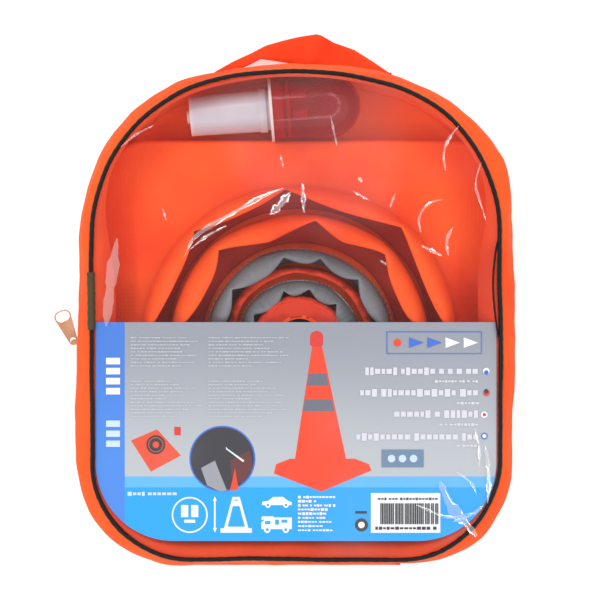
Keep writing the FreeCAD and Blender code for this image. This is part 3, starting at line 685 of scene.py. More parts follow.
# width, rise and line of each sharp crease in the clear front, in millimetres
FILM_CREASES = (
    (2.6, 0.55, (-61, 32), (-56, 44), (-36, 55), (-20, 64.5), (-7, 69.5)),
    (1.6, 0.4, (-58, 36), (-50, 43), (-38, 49)),
    (4.2, 0.8, (-14.5, 55), (-9, 60), (-3, 67.5)),
    (2.4, 0.5, (3.6, 72), (4, 64), (4.4, 56)),
    (2.2, 0.6, (34, 75.5), (36.5, 73)),
    (1.4, 0.4, (31, 68), (40, 63)),
    (1.4, 0.4, (51.5, 59), (54.5, 67)),
    (1.5, 0.4, (80.5, 63.5), (72, 61.5), (66.5, 53), (68.5, 45)),
    (1.9, 0.5, (86, 48.5), (82, 41), (83.5, 32.5)),
    (2.2, 0.5, (69, 38), (80, 32.5)),
    (1.6, 0.4, (89, 103.5), (83, 96), (80.5, 88), (82, 79)),
    (1.2, 0.3, (101.5, 84), (97.5, 72), (101, 62), (104, 52)),
    (1.2, 0.4, (19, 109), (20.5, 102), (22.5, 92.5)),
    (1.0, 0.3, (-8.5, 88), (-7, 81)),
    (6.0, 0.35, (-104, -6), (-102, 14), (-98, 42)),
    (1.4, 0.4, (46, 30), (50, 27.5)),
    (1.6, 0.4, (66, -104), (84, -112), (95, -108)),
    (1.3, 0.3, (88, -86), (97, -92), (99, -99)),
    (1.5, 0.4, (98, -62), (101, -74), (100, -84)),
    (5.5, 0.7, (79, -91), (84, -104), (92, -113), (99, -121)),
    (2.5, 0.5, (104, -72), (106, -88), (105, -103)),
    (2.0, 0.4, (86, -113), (97, -109), (103, -104)),
    (1.3, 0.4, (-96, 92), (-88, 99), (-78, 104)),
    (1.2, 0.3, (-73, 58), (-71, 52)),
)


@dataclass
class Bag:
    """The bag's cloth, film, piping, handle and zip."""

    columns: int = 720
    cloth: float = 1.0 * MM
    film_crown: float = 1.6 * MM
    cord: float = 1.25 * MM

    def half_wall(self, name: str, rings: list[tuple[Arch, float]], seed: int) -> bpy.types.Object:
        """Model one half of the gusset through a row of arches and heights."""
        heights = np.array([height for _, height in rings])
        marks = np.linspace(0, 1, len(rings))

        def shape(u: Array, v: Array) -> Array:
            """Place the wall's points."""
            traced = np.stack([arch.trace(u) for arch, _ in rings])
            along = v * (len(rings) - 1)
            first = np.clip(along.astype(int), 0, len(rings) - 2)
            share = (along - first)[:, None]
            index = np.arange(len(u))

            def ring(offset: int) -> Array:
                """Return the traced point of the ring at an offset, held at the ends."""
                return traced[np.clip(first + offset, 0, len(rings) - 1), index]

            before, start, end, after = ring(-1), ring(0), ring(1), ring(2)
            plan = 0.5 * (2 * start + (end - before) * share
                          + (2 * before - 5 * start + 4 * end - after) * share ** 2
                          + (3 * start - before - 3 * end + after) * share ** 3)
            angle = np.arctan2(plan[:, 1], plan[:, 0])
            belly = np.sin(np.pi * v)
            wave = swing(u * TURN, seed, (9, 17, 31, 58), 0.7 * MM) * belly
            long_fold = np.sin(TURN * (v * 1.6 + swing(u * TURN, seed + 1, (3, 7), 0.12)))
            height = np.interp(v, marks, heights)
            seams = np.exp(-v / 0.1) + np.exp((v - 1) / 0.1)
            pucker = swing(u * TURN, seed + 5, (67, 101, 127), 0.22 * MM) * seams
            wave = wave + 0.35 * MM * long_fold * belly + pucker + swell(plan, height)
            plan = plan + np.stack([np.cos(angle), np.sin(angle)], 1) * wave[:, None]
            height = height + swing(u * TURN, seed + 2, (5, 11, 23), 0.25 * MM) * belly
            return np.column_stack([plan, height])

        return surface_of(name, self.columns, 28, shape, self.cloth)

    def walls(self) -> None:
        """Model the back panel and both halves of the gusset."""
        low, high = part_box("back_gusset")
        rings = [(WIDEST.inset(6.5 * MM), low.z - 0.4 * MM), (WIDEST.inset(3.2 * MM), 4.2 * MM),
                 (WIDEST.inset(0.9 * MM), 9 * MM), (WIDEST, 14.5 * MM),
                 (WIDEST.inset(0.5 * MM), high.z)]
        back = self.half_wall("bag_back_wall", rings, 3)
        dress(back, BAG_CLOTH, "bag", Slot.ORANGE, "back_gusset")
        low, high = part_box("front_gusset")
        rings = [(WIDEST.inset(0.5 * MM), low.z), (WIDEST, 29 * MM),
                 (WIDEST.towards(FRONT, 0.12), 34 * MM), (WIDEST.towards(FRONT, 0.42), 39.5 * MM),
                 (WIDEST.towards(FRONT, 0.8), 42.6 * MM), (FRONT, high.z + 0.3 * MM)]
        front = self.half_wall("bag_front_wall", rings, 11)
        dress(front, BAG_CLOTH, "front_cover", Slot.ORANGE, "front_gusset")
        rim = WIDEST.inset(5.2 * MM)

        def panel(u: Array, v: Array) -> Array:
            """Place the back panel's points, which rest flat on the floor."""
            plan = rim.trace(u) * (1 - v)[:, None]
            return np.column_stack([plan, np.full(len(u), 1.0 * MM)])

        piece = surface_of("bag_back_panel", 240, 40, panel, 0.95 * MM)
        dress(piece, BAG_CLOTH, "bag", Slot.ORANGE, "back_panel")

    def seam_lining(self) -> None:
        """Model the cloth that turns in under the clear front's edge."""
        low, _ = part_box("window")

        def shape(u: Array, v: Array) -> Array:
            """Place the lining's points."""
            angle = u * TURN
            rim = FRONT.inset(0.9 * MM).trace(u)
            upper = ease((rim[:, 1] - 20 * MM) / (70 * MM))
            sway = swing(angle, 27, (5, 12, 22), 0.8 * MM) * (1 - upper)
            width = (10.5 - 8.5 * upper) * MM + sway
            inwards = -rim / np.linalg.norm(rim, axis=1)[:, None]
            plan = rim + inwards * (width * v)[:, None]
            drop = width * (0.75 * v ** 1.6) + swing(angle, 28, (17, 29), 0.3 * MM) * v
            return np.column_stack([plan, low.z - 0.9 * MM - drop])

        piece = surface_of("bag_seam_lining", self.columns, 10, shape)
        # painted shade: the lining's darker cloth stands for the shade under the film's edge
        dress(piece, SHADED_LINING_CLOTH, "front_cover", Slot.ORANGE)

    def film(self) -> None:
        """Model the clear front: nearly flat, with buckles that run in from the seam."""
        rim = FRONT.inset(1.6 * MM)
        low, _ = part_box("window")

        def shape(u: Array, v: Array) -> Array:
            """Place the film's points."""
            inwards = v ** 1.3
            plan = rim.trace(u) * (1 - inwards)[:, None]
            angle = u * TURN
            crown = self.film_crown * ease(inwards * 2.2)
            near = np.exp(-((inwards - 0.06) / 0.07) ** 2)
            buckles = swing(angle, 21, (14, 23, 37, 61), 0.35 * MM) * near
            sway = swing(angle, 23, (2, 3, 5), 0.25 * MM) * np.sin(np.pi * inwards) ** 2
            return np.column_stack([plan, low.z + 0.3 * MM + crown + buckles + sway])

        piece = surface_of("bag_window", 540, 90, shape)
        dress(piece, Film(), "front_cover", Slot.FILM, "window")
        creases = [self.crease(number, *crease) for number, crease in enumerate(FILM_CREASES)]
        dress(join("bag_window_creases", creases), Film("film_crease", gloss=0.22, rim_gloss=0.3),
              "front_cover", Slot.FILM)

    def crease(self, number: int, width: float, height: float, *corners: tuple[float, float]
               ) -> bpy.types.Object:
        """Model one sharp crease of the film along a bent line.

        Args:
            number: Picks the crease's small waves.
            width: Full width in millimetres.
            height: Rise in millimetres.
            corners: Places that the line passes, in millimetres.

        Returns:
            The crease.
        """
        line = np.array(corners, float) * MM
        for _ in range(3):
            line = rounded(line)
        low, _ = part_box("window")

        def shape(u: Array, v: Array) -> Array:
            """Place the crease's points."""
            right = outward(lambda share: along_line(line, share), u, 0.02)
            taper = np.sin(np.pi * np.clip(u, 0.02, 0.98)) ** 0.5
            ragged = 1 + swing(u * TURN, 300 + number, (2, 5, 9), 0.22)
            across = (v - 0.5) * width * MM * taper * ragged
            lean = 0.5 + 0.12 * np.sin(u * 5 + number)
            ridge = np.where(v < lean, v / lean, (1 - v) / (1 - lean))
            rise = height * MM * taper * ridge ** 0.9
            top = low.z + 0.7 * MM + self.film_crown + rise
            return np.column_stack([along_line(line, u) - right * across[:, None], top])

        return surface_of(f"film_crease_{number}", 60, 8, shape)

    def piping(self) -> None:
        """Model the corded piping round the clear front, and its short binding."""
        low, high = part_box("front_piping")
        middle = (low.z + high.z) / 2

        def tube(radius: float, start: float, end: float, seed: int) -> Callable:
            """Return the rule of a cord along part of the front's outline."""
            def shape(u: Array, v: Array) -> Array:
                """Place the cord's points."""
                share = start + (end - start) * u
                sway = swing(share * TURN, seed, (6, 13, 29), 0.35 * MM)
                turn = v * TURN
                thick = radius * (1 + 0.05 * np.sin(share * TURN * 160 + 2 * turn))
                reach = (sway + thick * np.cos(turn))[:, None]
                plan = FRONT.trace(np.mod(share, 1)) + FRONT.out(share) * reach
                return np.column_stack([plan, middle + thick * np.sin(turn)])
            return shape

        cord = surface_of("bag_piping", 1440, 10, tube(self.cord, 0, 1, 31))
        dress(cord, BLACK_CORD, "front_cover", Slot.CORD, "front_piping")
        half = FRONT.half
        ends = FRONT.share_at(-half, 23.5 * MM), FRONT.share_at(-half, -8 * MM)
        sleeve = surface_of("piping_sleeve", 60, 10, tube(self.cord * 1.75, *ends, 31))
        dress(sleeve, OLIVE_SLEEVE, "front_cover", Slot.CORD)
        foot, head = -14 * MM, 42 * MM
        ends = FRONT.share_at(half, foot), FRONT.share_at(half, head)
        inner = surface_of("piping_inner_line", 90, 8, tube(0.55 * MM, *ends, 31))
        places = coordinates(inner)
        along = np.clip((places[:, 1] - foot) / (head - foot), 0, 1)
        places[:, 0] -= 3.6 * MM * np.sin(np.pi * along) ** 0.5
        places[:, 2] += 0.6 * MM
        move_points(inner, places)
        dress(inner, BLACK_CORD, "front_cover", Slot.CORD)

    def handle(self) -> None:
        """Model the webbing strap: a flat loop folded over at its middle."""
        low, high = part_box("carry_handle")
        wide, rise = high.x - low.x, high.y - low.y
        outer_x = np.array([0, 0.11, 0.2, 0.29, 0.39, 0.48, 0.575, 0.6, 0.67, 0.79, 0.9, 1])
        outer_y = np.array([0, 0.29, 0.485, 0.7, 0.83, 0.93, 1.0, 0.965, 0.78, 0.58, 0.26, -0.06])
        inner_x = np.array([0, 0.08, 0.19, 0.26, 0.34, 0.46, 0.66, 0.9, 1])
        inner_y = np.array([-0.2, -0.03, 0.17, 0.345, 0.295, 0.2, 0.08, -0.12, -0.25])

        def shape(u: Array, v: Array) -> Array:
            """Place the strap's points: v runs round its section."""
            outer = low.y + rise * np.interp(u, outer_x, outer_y)
            inner = low.y + rise * np.interp(u, inner_x, inner_y)
            side, thick = boxy(v * TURN, 0.35, 0.6)
            along = (outer + inner) / 2 + side * (outer - inner) / 2
            height = (low.z + high.z) / 2 + thick * (high.z - low.z) / 2
            fold = np.exp(-((u - 0.575 - 0.05 * side) / 0.035) ** 2)
            height = height + fold * 1.1 * MM + 0.5 * MM * np.sin(u * 17 + side) * (1 - fold)
            return np.column_stack([low.x + u * wide, along, height])

        strap = surface_of("bag_handle", 240, 24, shape)
        dress(strap, HANDLE_CLOTH, "handle", Slot.ORANGE, "carry_handle")

    def hinge(self) -> None:
        """Model the cloth strip that joins both halves along the straight foot."""
        low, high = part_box("hinge_strip")
        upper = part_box("front_gusset")[0].z

        def shape(u: Array, v: Array) -> Array:
            """Place the strip's points."""
            height = low.z + (upper + 4.5 * MM - low.z) * v
            ripple = swing(u * math.pi, 37, (7, 13, 29), 0.16 * MM)
            near = 0.45 * MM * np.sin(np.pi * v) + ripple * np.sin(np.pi * v)
            return np.column_stack([low.x + (high.x - low.x) * u, low.y + 0.5 * MM - near, height])

        piece = surface_of("bag_hinge_strip", 180, 20, shape, 0.6 * MM)
        dress(piece, BAG_CLOTH, "", Slot.ORANGE, "hinge_strip")
        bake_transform(piece)

    def tab(self, side: str) -> None:
        """Model a sewn tab at one foot of the handle: webbing folded double."""
        low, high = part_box(f"handle_tab_{side}")

        def shape(u: Array, v: Array) -> Array:
            """Place the tab's points: v runs round its section."""
            wide, thick = boxy(v * TURN, 0.3, 0.5)
            x = (low.x + high.x) / 2 + wide * (high.x - low.x) / 2
            z = (low.z + high.z) / 2 + thick * (high.z - low.z) / 2 * (1 - 0.25 * u)
            z = z + 0.15 * MM * np.sin(u * 40) * np.abs(wide)
            return np.column_stack([x, low.y + (high.y - low.y) * u, z])

        piece = surface_of(f"bag_handle_tab_{side}", 24, 28, shape)
        dress(piece, HANDLE_CLOTH, "bag", Slot.ORANGE, f"handle_tab_{side}")

    def build(self) -> None:
        """Model and dress the whole bag."""
        for part in (self.walls, self.seam_lining, self.film, self.piping, self.handle, self.hinge):
            part()
        for side in ("left", "right"):
            self.tab(side)
        Zip().build()


@dataclass
class Zip:
    """The zip's two woven tapes and two meshing rows of coil teeth; its stops, slider and pull stay CAD
    nodes.
    """

    pitch: float = 1.7 * MM
    tooth: tuple[float, float, float] = (0.78 * MM, 1.5 * MM, 2.7 * MM)

    def path(self, depth: float) -> tuple[Arch, float, float]:
        """Return an arch under the bag's outline and the shares where the zip starts and ends."""
        arch = WIDEST.inset(depth)
        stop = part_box("zip_stop_right")[0].x
        return arch, arch.share_at(stop, -arch.bottom), arch.share_at(-stop, -arch.bottom)

    def tape(self, side: str, body: str, sewn: float, meeting: float) -> None:
        """Model one tape.

        Args:
            side: Half of the bag that it is sewn to.
            body: Body that it rides on.
            sewn: Height of its sewn edge.
            meeting: Height where it meets the other tape.
        """
        def shape(u: Array, v: Array) -> Array:
            """Place the tape's points."""
            depth = 1.9 * MM + 0.9 * MM * ease(v * 1.6)
            arch, start, end = self.path(0.0)
            share = start + (end - start) * u
            sway = swing(share * TURN, 33, (19, 41, 83), 0.12 * MM) * np.sin(np.pi * v)
            plan = arch.trace(share) - arch.out(share) * (depth + sway)[:, None]
            return np.column_stack([plan, sewn + (meeting - sewn) * v])

        piece = surface_of(f"bag_zip_tape_{side}", 540, 8, shape, 0.45 * MM)
        dress(piece, ZIP_TAPE, body, Slot.ZIP, f"zip_tape_{side}")

    def teeth(self, side: str, body: str, middle: float, offset: float) -> None:
        """Model one row of teeth, which fill the gaps of the other row."""
        arch, start, end = self.path(2.0 * MM)
        length = np.linalg.norm(np.diff(arch.dense(), axis=0), axis=1).sum()
        select()
        bpy.ops.mesh.primitive_cube_add(size=1, location=(0, 0, 0))
        piece = bpy.context.object
        piece.name = piece.data.name = f"bag_zip_teeth_{side}"
        move_points(piece, coordinates(piece) * self.tooth)
        modify(piece, "BEVEL", width=0.28 * MM, segments=1)
        modify(piece, "ARRAY", count=int((end - start) * length / self.pitch) - 1,
               use_relative_offset=False, use_constant_offset=True,
               constant_offset_displace=(self.pitch, 0, 0))
        places = coordinates(piece)
        share = start + (places[:, 0] + (1 + offset) * self.pitch) / length
        plan = arch.trace(share) + arch.out(share) * places[:, 1:2]
        move_points(piece, np.column_stack([plan, middle + places[:, 2]]))
        close_and_turn_out(piece)
        dress(piece, ZIP_PLASTIC, body, Slot.ZIP, f"zip_chain_{side}")

    def build(self) -> None:
        """Model and dress the zip."""
        back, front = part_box("zip_chain_back"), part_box("zip_chain_front")
        middle = (back[1].z + front[0].z) / 2
        self.tape("back", "bag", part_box("zip_tape_back")[0].z, middle - 0.06 * MM)
        self.tape("front", "front_cover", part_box("zip_tape_front")[1].z, middle + 0.06 * MM)
        self.teeth("back", "bag", middle - 0.75 * MM, 0.0)
        self.teeth("front", "front_cover", middle + 0.75 * MM, 0.5)


# ------------------------------------------------------------------ cone

GATHER_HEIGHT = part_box("lamp_collar")[1].z + 1.4 * MM
# where a fold's section, from hem to floor, ends its crest, ends its fall and starts its floor
CREST_END, FALL, FLOOR_START = 0.62, 0.22, 0.84
CREST_TURN = math.pi * 0.80


def round_the_cone(radius: Array, angle: Array, height: Array) -> Array:
    """Return places by radius and angle about the folded cone's axis."""
    return np.column_stack([CENTRE[0] + radius * np.cos(angle),
                            CENTRE[1] + radius * np.sin(angle), height])


@dataclass
class Fold:
    """One cloth fold of the collapsed cone."""

    node: str
    lower: str
    upper: str
    outer: float
    edge_near: float
    edge_far: float
    corners: tuple[float, ...]
    crest: float
    foot: float
    finish: Cloth
    seed: int
    gathered: bool = False

    def edge(self, angle: Array) -> Array:
        """Return the inner edge's radius: sagging straight runs between outward corners."""
        corners = np.radians(np.array(self.corners))
        spaced = np.concatenate([corners[-1:] - TURN, corners, corners[:1] + TURN])
        turned = np.mod(angle - corners[0], TURN) + corners[0]
        index = np.clip(np.searchsorted(spaced, turned, side="right") - 1, 0, len(spaced) - 2)
        start, end = spaced[index], spaced[index + 1]
        share = (turned - start) / (end - start)
        rng = np.random.default_rng(self.seed + 7)
        power = rng.uniform(1.3, 2.6, len(spaced))[index]
        bow = 1 - np.abs(2 * share ** rng.uniform(0.8, 1.25, len(spaced))[index] - 1) ** power
        depth = (end - start) / (TURN / len(corners))
        return self.edge_far - (self.edge_far - self.edge_near) * bow * np.clip(depth, 0.5, 1.3)

    def hem(self, angle: Array) -> Array:
        """Return the outer edge's radius, a little flatter towards the top of the bag."""
        flat = 1.3 * MM * np.exp(-((np.mod(angle, TURN) - math.pi / 2) / 0.6) ** 2)
        return self.outer - flat + swing(angle, self.seed, (3, 5, 8), 0.45 * MM)

    def ride(self, piece: bpy.types.Object) -> None:
        """Bake the piece's placement into its mesh."""
        low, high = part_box(self.node)
        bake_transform(piece)

    def model(self) -> None:
        """Model the fold: outer wall, puffed crest, sharp inner edge and floor."""
        low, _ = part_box(self.node)

        def shape(u: Array, v: Array) -> Array:
            """Place the fold's points: v runs from the outer hem over the crest to the floor."""
            angle = u * TURN
            edge = self.edge(angle)
            outer = self.hem(angle)
            pleat = swing(angle, self.seed + 1, (13, 21, 34, 55), 0.6 * MM)
            gather = swing(angle, self.seed + 2, (5, 9, 15), 0.5 * MM if self.gathered else 0.0)
            span = outer - edge
            roll = np.clip(v / CREST_END, 0, 1)
            turn = roll * CREST_TURN
            radius = outer - span * (1 - np.cos(turn)) / (1 - math.cos(CREST_TURN))
            rise = np.sin(turn * 0.78) ** 0.8
            height = low.z + (self.crest - low.z) * rise
            height = height + pleat * np.sin(np.pi * roll) * 1.1
            away = np.abs(angle[:, None] - np.radians(self.corners))
            near = np.exp(-(np.minimum(away, TURN - away) / 0.045) ** 2).sum(1)
            height = height - 1.3 * MM * near * np.sin(np.pi * np.clip(roll, 0.25, 1)) ** 0.8
            fall = np.clip((v - CREST_END) / FALL, 0, 1)
            drop = low.z + 2.2 * MM if not self.gathered else GATHER_HEIGHT
            height = np.where(v > CREST_END, height * (1 - ease(fall)) + drop * ease(fall), height)
            radius = np.where(v > CREST_END, radius + 1.5 * MM * np.sin(np.pi * fall * 0.5), radius)
            floor = np.clip((v - FLOOR_START) / (1 - FLOOR_START), 0, 1)
            radius = np.where(v > FLOOR_START, radius * (1 - floor) + self.foot * floor, radius)
            sunk = 1.6 * MM * ease(floor) - gather * floor
            height = np.where(v > FLOOR_START, height - sunk, height)
            return round_the_cone(radius, angle, height)

        # painted shade: from v about 0.6 on, the inner wall and floor get the painted fold shade, a
        # quarter of it on the gathered top fold
        piece = surface_of(f"cone_{self.node}", 540, 46, shape, 0.35 * MM,
                           lambda v: ease((v - 0.6) / 0.12) * (0.25 if self.gathered else 0.92))
        slot = Slot.SILVER if self.finish is SILVER_CLOTH else Slot.ORANGE
        dress(piece, self.finish, "", slot, self.node)
        self.ride(piece)


@dataclass
class Cone:
    """The cone folded flat on its base."""

    stitches_round: int = 90
    seam_drop: float = 4.5 * MM

    def folds(self) -> list[Fold]:
        """Return the six folds from the foot inwards."""
        even = tuple(float(step) for step in range(5, 365, 45))
        return [
            Fold("sleeve_lower", "bag", "ring_1", 87.5 * MM, 75 * MM, 83.5 * MM,
                 (3, 48, 95.5, 134, 178, 225, 270, 315), 40.6 * MM, 73.2 * MM, CONE_CLOTH, 41),
            Fold("sleeve_middle", "ring_1", "ring_2", 71.6 * MM, 57.5 * MM, 66.5 * MM,
                 (5, 45, 82.5, 132, 175, 222, 268, 312), 40.6 * MM, 54.2 * MM, CONE_CLOTH, 51),
            Fold("band_lower", "ring_2", "ring_3", 51.6 * MM, 40.5 * MM, 46.5 * MM,
                 (8, 46, 76, 101, 143, 176, 210, 245, 280, 318), 38.2 * MM, 43.2 * MM, SILVER_CLOTH,
                 61),
            Fold("sleeve_upper", "ring_3", "ring_4", 42.6 * MM, 36.6 * MM, 37.4 * MM,
                 even, 30.5 * MM, 37.7 * MM, SHADED_CONE_CLOTH, 71),
            Fold("band_upper", "ring_4", "ring_5", 34 * MM, 23 * MM, 28.6 * MM,
                 (2, 45, 79, 108, 151, 190, 230, 275, 320), 38.2 * MM, 28.2 * MM, SILVER_CLOTH, 81),
            Fold("sleeve_top", "ring_5", "cone_cap", 26.4 * MM, 20.9 * MM, 21.8 * MM,
                 even, 39.6 * MM, 12.8 * MM, SHADED_CONE_CLOTH, 91, gathered=True),
        ]

    def stitches(self, fold: Fold) -> None:
        """Sew a line of stitches round a fold's outer edge."""
        def shape(u: Array, v: Array) -> Array:
            """Place the thread's points."""
            angle, turn = u * TURN, v * TURN
            edge = fold.hem(angle) + 0.4 * MM
            thick = 0.38 * MM * (0.55 + 0.45 * np.sign(np.sin(angle * self.stitches_round)))
            radius = edge + thick * np.cos(turn)
            return round_the_cone(radius, angle, fold.crest - self.seam_drop + thick * np.sin(turn))

        piece = surface_of(f"stitches_{fold.node}", 1080, 5, shape)
        dress(piece, THREAD, "", Slot.SILVER)
        fold.ride(piece)

    def base_cover(self) -> None:
        """Model the cloth cover that wraps the square base and rises to the cone's foot."""
        low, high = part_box("base_cover")
        half = (high.x - low.x) / 2 + 0.6 * MM
        foot, top_edge = half, half + 1.2 * MM
        wide, narrow = 38 * MM, 25 * MM
        sides, bend, climb_start, middle = 0.2, 0.08, 82 * MM, 20 * MM

        def corner(x: float, y: float, radius: float, start: float) -> Array:
            """Return a quarter turn round a corner's centre."""
            angle = np.radians(np.linspace(start, start + 90, 40))
            return np.stack([x + radius * np.cos(angle), y + radius * np.sin(angle)], 1)

        line = np.concatenate([
            [[0, -foot]], corner(half - wide, wide - foot, wide, -90),
            corner(half - narrow, top_edge - narrow, narrow, 0),
            corner(narrow - half, top_edge - narrow, narrow, 90),
            corner(wide - half, wide - foot, wide, 180), [[0, -foot]]])

        def shape(u: Array, v: Array) -> Array:
            """Place the cover's points: v runs from the lower hem up and in to the middle."""
            square = along_line(line, u)
            angle = np.arctan2(square[:, 1], square[:, 0])
            compass = np.stack([np.cos(angle), np.sin(angle)], 1)
            side, turn = np.clip(v / sides, 0, 1), ease((v - sides) / bend) * 0.5 * math.pi
            deck = np.clip((v - sides - bend) / (1 - sides - bend), 0, 1)
            pull = 2.6 * MM * (1 - np.cos(turn)) + 0.5 * MM * np.sin(np.pi * side * 2)
            rim = square - compass * pull[:, None]
            ring = compass * middle
            spread = rim * (1 - deck)[:, None] + ring * deck[:, None]
            reach = np.linalg.norm(spread, axis=1)
            edge = np.linalg.norm(rim, axis=1)
            climb = ease((edge - reach) / np.maximum(edge - climb_start, 1 * MM))
            height = low.z - 8.6 * MM + 9.6 * MM * side + 1.8 * MM * np.sin(turn)
            height = height + 5.2 * MM * climb + swing(angle, 15, (4, 9, 14), 0.35 * MM) * climb
            return np.column_stack([spread + np.array(CENTRE), height])

        piece = surface_of("cone_base_cover", 600, 70, shape, 0.8 * MM)
        dress(piece, COVER_CLOTH, "bag", Slot.ORANGE, "base_cover")

    def build(self) -> None:
        """Model and dress the cone and its base."""
        for fold in self.folds():
            fold.model()
            if fold.finish is SILVER_CLOTH:
                self.stitches(fold)
        self.base_cover()


# ------------------------------------------------------------------ card

INK_TONES = {
    "orange_ink": srgb(226, 72, 36), "flame_ink": srgb(240, 58, 4), "lamp_ink": srgb(212, 44, 34),
    "steel_ink": srgb(98, 102, 116), "night_ink": srgb(34, 34, 44), "dusk_ink": srgb(92, 34, 34),
    "road_ink": srgb(150, 152, 160), "band_ink": srgb(52, 104, 204), "cyan_ink": srgb(0, 160, 244),
    "white_ink": srgb(238, 240, 242), "pale_ink": srgb(196, 220, 244), "title_ink": srgb(214, 214, 222),
    "fine_ink": srgb(196, 200, 206), "badge_ink": srgb(104, 128, 156), "black_ink": srgb(24, 24, 28),
}
ROW_SEED, BLOCK_SEED, FINE_SEED, STRIPE_SEED = 400, 500, 600, 77
# left, right, foot and top of the striped code
STRIPES = (46.2, 78.1, -114.8, -103.1)
# ink, then in the order of printing left, foot, right and top of a bar, centre and radius of a
# disc, or the corners of a shape, in millimetres
CARD_PRINT = (
    ("orange_ink", (-90.6, -68.8, -76.2, -62.6, -63.1, -77.0, -79.6, -85.9)),
    ("night_ink", (-76.9, -71.1, 5.23)),
    ("orange_ink", (-76.9, -71.1, 4.12)),
    ("night_ink", (-76.9, -71.1, 3.71)),
    ("orange_ink", (-76.9, -71.1, 1.79)),
    ("lamp_ink", (-66.8, -66.0, -63.2, -61.3)),
    ("band_ink", (-40.4, -78.8, 18.15)),
    ("night_ink", (-40.4, -78.8, 17.33)),
    ("dusk_ink", (-36.3, -79.8, -25.3, -74.2, -23.6, -83.9, -29.4, -92.1, -34.9, -90.8)),
    ("road_ink", (-52.1, -83.9, -44.5, -79.8, -37.9, -96.3, -41.8, -96.7, -48.7, -93.5)),
    ("flame_ink", (-33.5, -83.9, -32.4, -90.8, -31.3, -95.7, -36.3, -96.3, -34.9, -90.8)),
    ("white_ink", (-38.2, -72.3, -37.7, -73.2, -28.3, -79.8, -29.1, -80.6, -38.5, -73.4)),
    ("flame_ink", (8.8, -17.2, 14.3, -17.2, 28.1, -81.8, -1.0, -81.8),
     (-10.9, -81.8, -3.3, -78.8, 32.5, -78.8, 40.0, -81.8, 41.4, -85.2, 13.9, -96.9, -12.2, -86.9),
     (8.8, -17.2, 14.3, -17.2, 27.5, -79.8, 22.8, -83.9, 13.9, -85.2, 3.6, -83.9, -0.5, -79.8)),
    ("steel_ink", (7.0, -31.9, 16.6, -31.9, 18.0, -38.8, 5.8, -38.8),
     (4.7, -46.1, 19.8, -46.1, 21.2, -52.9, 3.6, -52.9)),
    ("lamp_ink",
     (7.7, -16.2, 7.7, -11.3, 8.8, -9.4, 11.4, -8.5, 13.8, -9.4, 14.9, -11.3, 14.9, -16.2, 13.9,
      -17.3, 8.8, -17.3)),
    ("white_ink", (-58.3, -109.6, 9.9)),
    ("cyan_ink", (-58.3, -109.6, 9.08)),
    ("white_ink", (-63.0, -110.8, -59.1, -104.2), (-57.5, -110.8, -53.6, -104.2),
     (-61.3, -113.9, -55.3, -112.2), (-44.5, -99.4, -43.4, -102.0, -45.6, -102.0),
     (-44.5, -119.4, -45.6, -116.7, -43.4, -116.7), (-45.0, -117.2, -44.1, -101.8),
     (-34.8, -99.7, -30.9, -99.7, -26.1, -116.9, -39.5, -116.9)),
    ("cyan_ink", (-33.8, -101.2, -31.9, -101.2, -28.0, -116.1, -37.5, -116.1)),
    ("white_ink", (-35.1, -101.8, -30.4, -101.8, -29.6, -104.8, -35.9, -104.8),
     (-41.4, -119.4, -24.2, -116.9),
     (-18.7, -104.2, -18.4, -102.3, -15.1, -101.8, -12.6, -99.8, -7.1, -99.7, -4.4, -101.8, -2.2,
      -102.6, -2.5, -104.2),
     (-19.0, -117.4, -19.0, -113.6, -17.0, -112.2, -19.0, -112.2, -18.7, -110.4, -12.2, -110.4, -12.2,
      -111.0, -2.3, -111.0, -2.3, -117.4)),
    ("cyan_ink", (-11.5, -115.0, -9.3, -112.2), (-8.0, -113.9, -4.7, -112.2),
     (-17.0, -114.7, -14.0, -112.9)),
    ("white_ink", (-15.4, -104.2, 1.51), (-5.5, -104.2, 1.51)),
    ("cyan_ink", (-15.4, -104.2, 0.69), (-5.5, -104.2, 0.69)),
    ("white_ink", (-15.8, -117.7, 1.79), (-5.6, -117.7, 1.79)),
    ("cyan_ink", (-15.8, -117.7, 0.83), (-5.6, -117.7, 0.83)),
    ("black_ink", (32.5, -108.9, 38.9, -107.5), (35.9, -115.1, 3.58)),
    ("white_ink", (35.9, -115.1, 1.79), (41.1, -119.4, 79.2, -97.6)),
    ("badge_ink", (46.9, -83.5, 70.0, -73.8)),
    ("pale_ink", (52.4, -78.7, 2.06), (58.4, -78.7, 2.06), (64.5, -78.7, 2.06)),
    ("band_ink", (49.6, -9.4, 101.9, -8.9), (49.6, -21.3, 101.9, -20.9), (49.6, -21.3, 50.1, -8.9),
     (101.5, -21.3, 101.9, -8.9), (62, -18, 70, -15.1, 62, -12.2), (72, -18, 80, -15.1, 72, -12.2)),
    ("white_ink", (82, -18, 90, -15.1, 82, -12.2), (92, -18, 100, -15.1, 92, -12.2),
     (-104.2, -27.0, -96.5, -23.4), (-104.2, -32.5, -96.5, -28.9), (-104.2, -38.0, -96.5, -34.4),
     (-104.2, -43.5, -96.5, -39.9)),
    ("pale_ink", (-104.2, -61.3, -96.5, -57.8), (-104.2, -66.8, -96.5, -63.3),
     (-104.2, -72.3, -96.5, -68.8)),
    ("white_ink", (104.4, -30.7, 1.79)),
    ("band_ink", (104.4, -31.4, 1.24)),
    ("lamp_ink", (104.4, -42.6, 1.79)),
    ("black_ink", (104.4, -41.8, 1.24)),
    ("white_ink", (103.3, -54.6, 1.79)),
    ("lamp_ink", (103.3, -54.6, 0.96)),
    ("band_ink", (103.3, -66.4, 1.79)),
    ("white_ink", (103.3, -66.4, 1.1)),
    ("flame_ink", (55.6, -15.1, 2.06)),
)
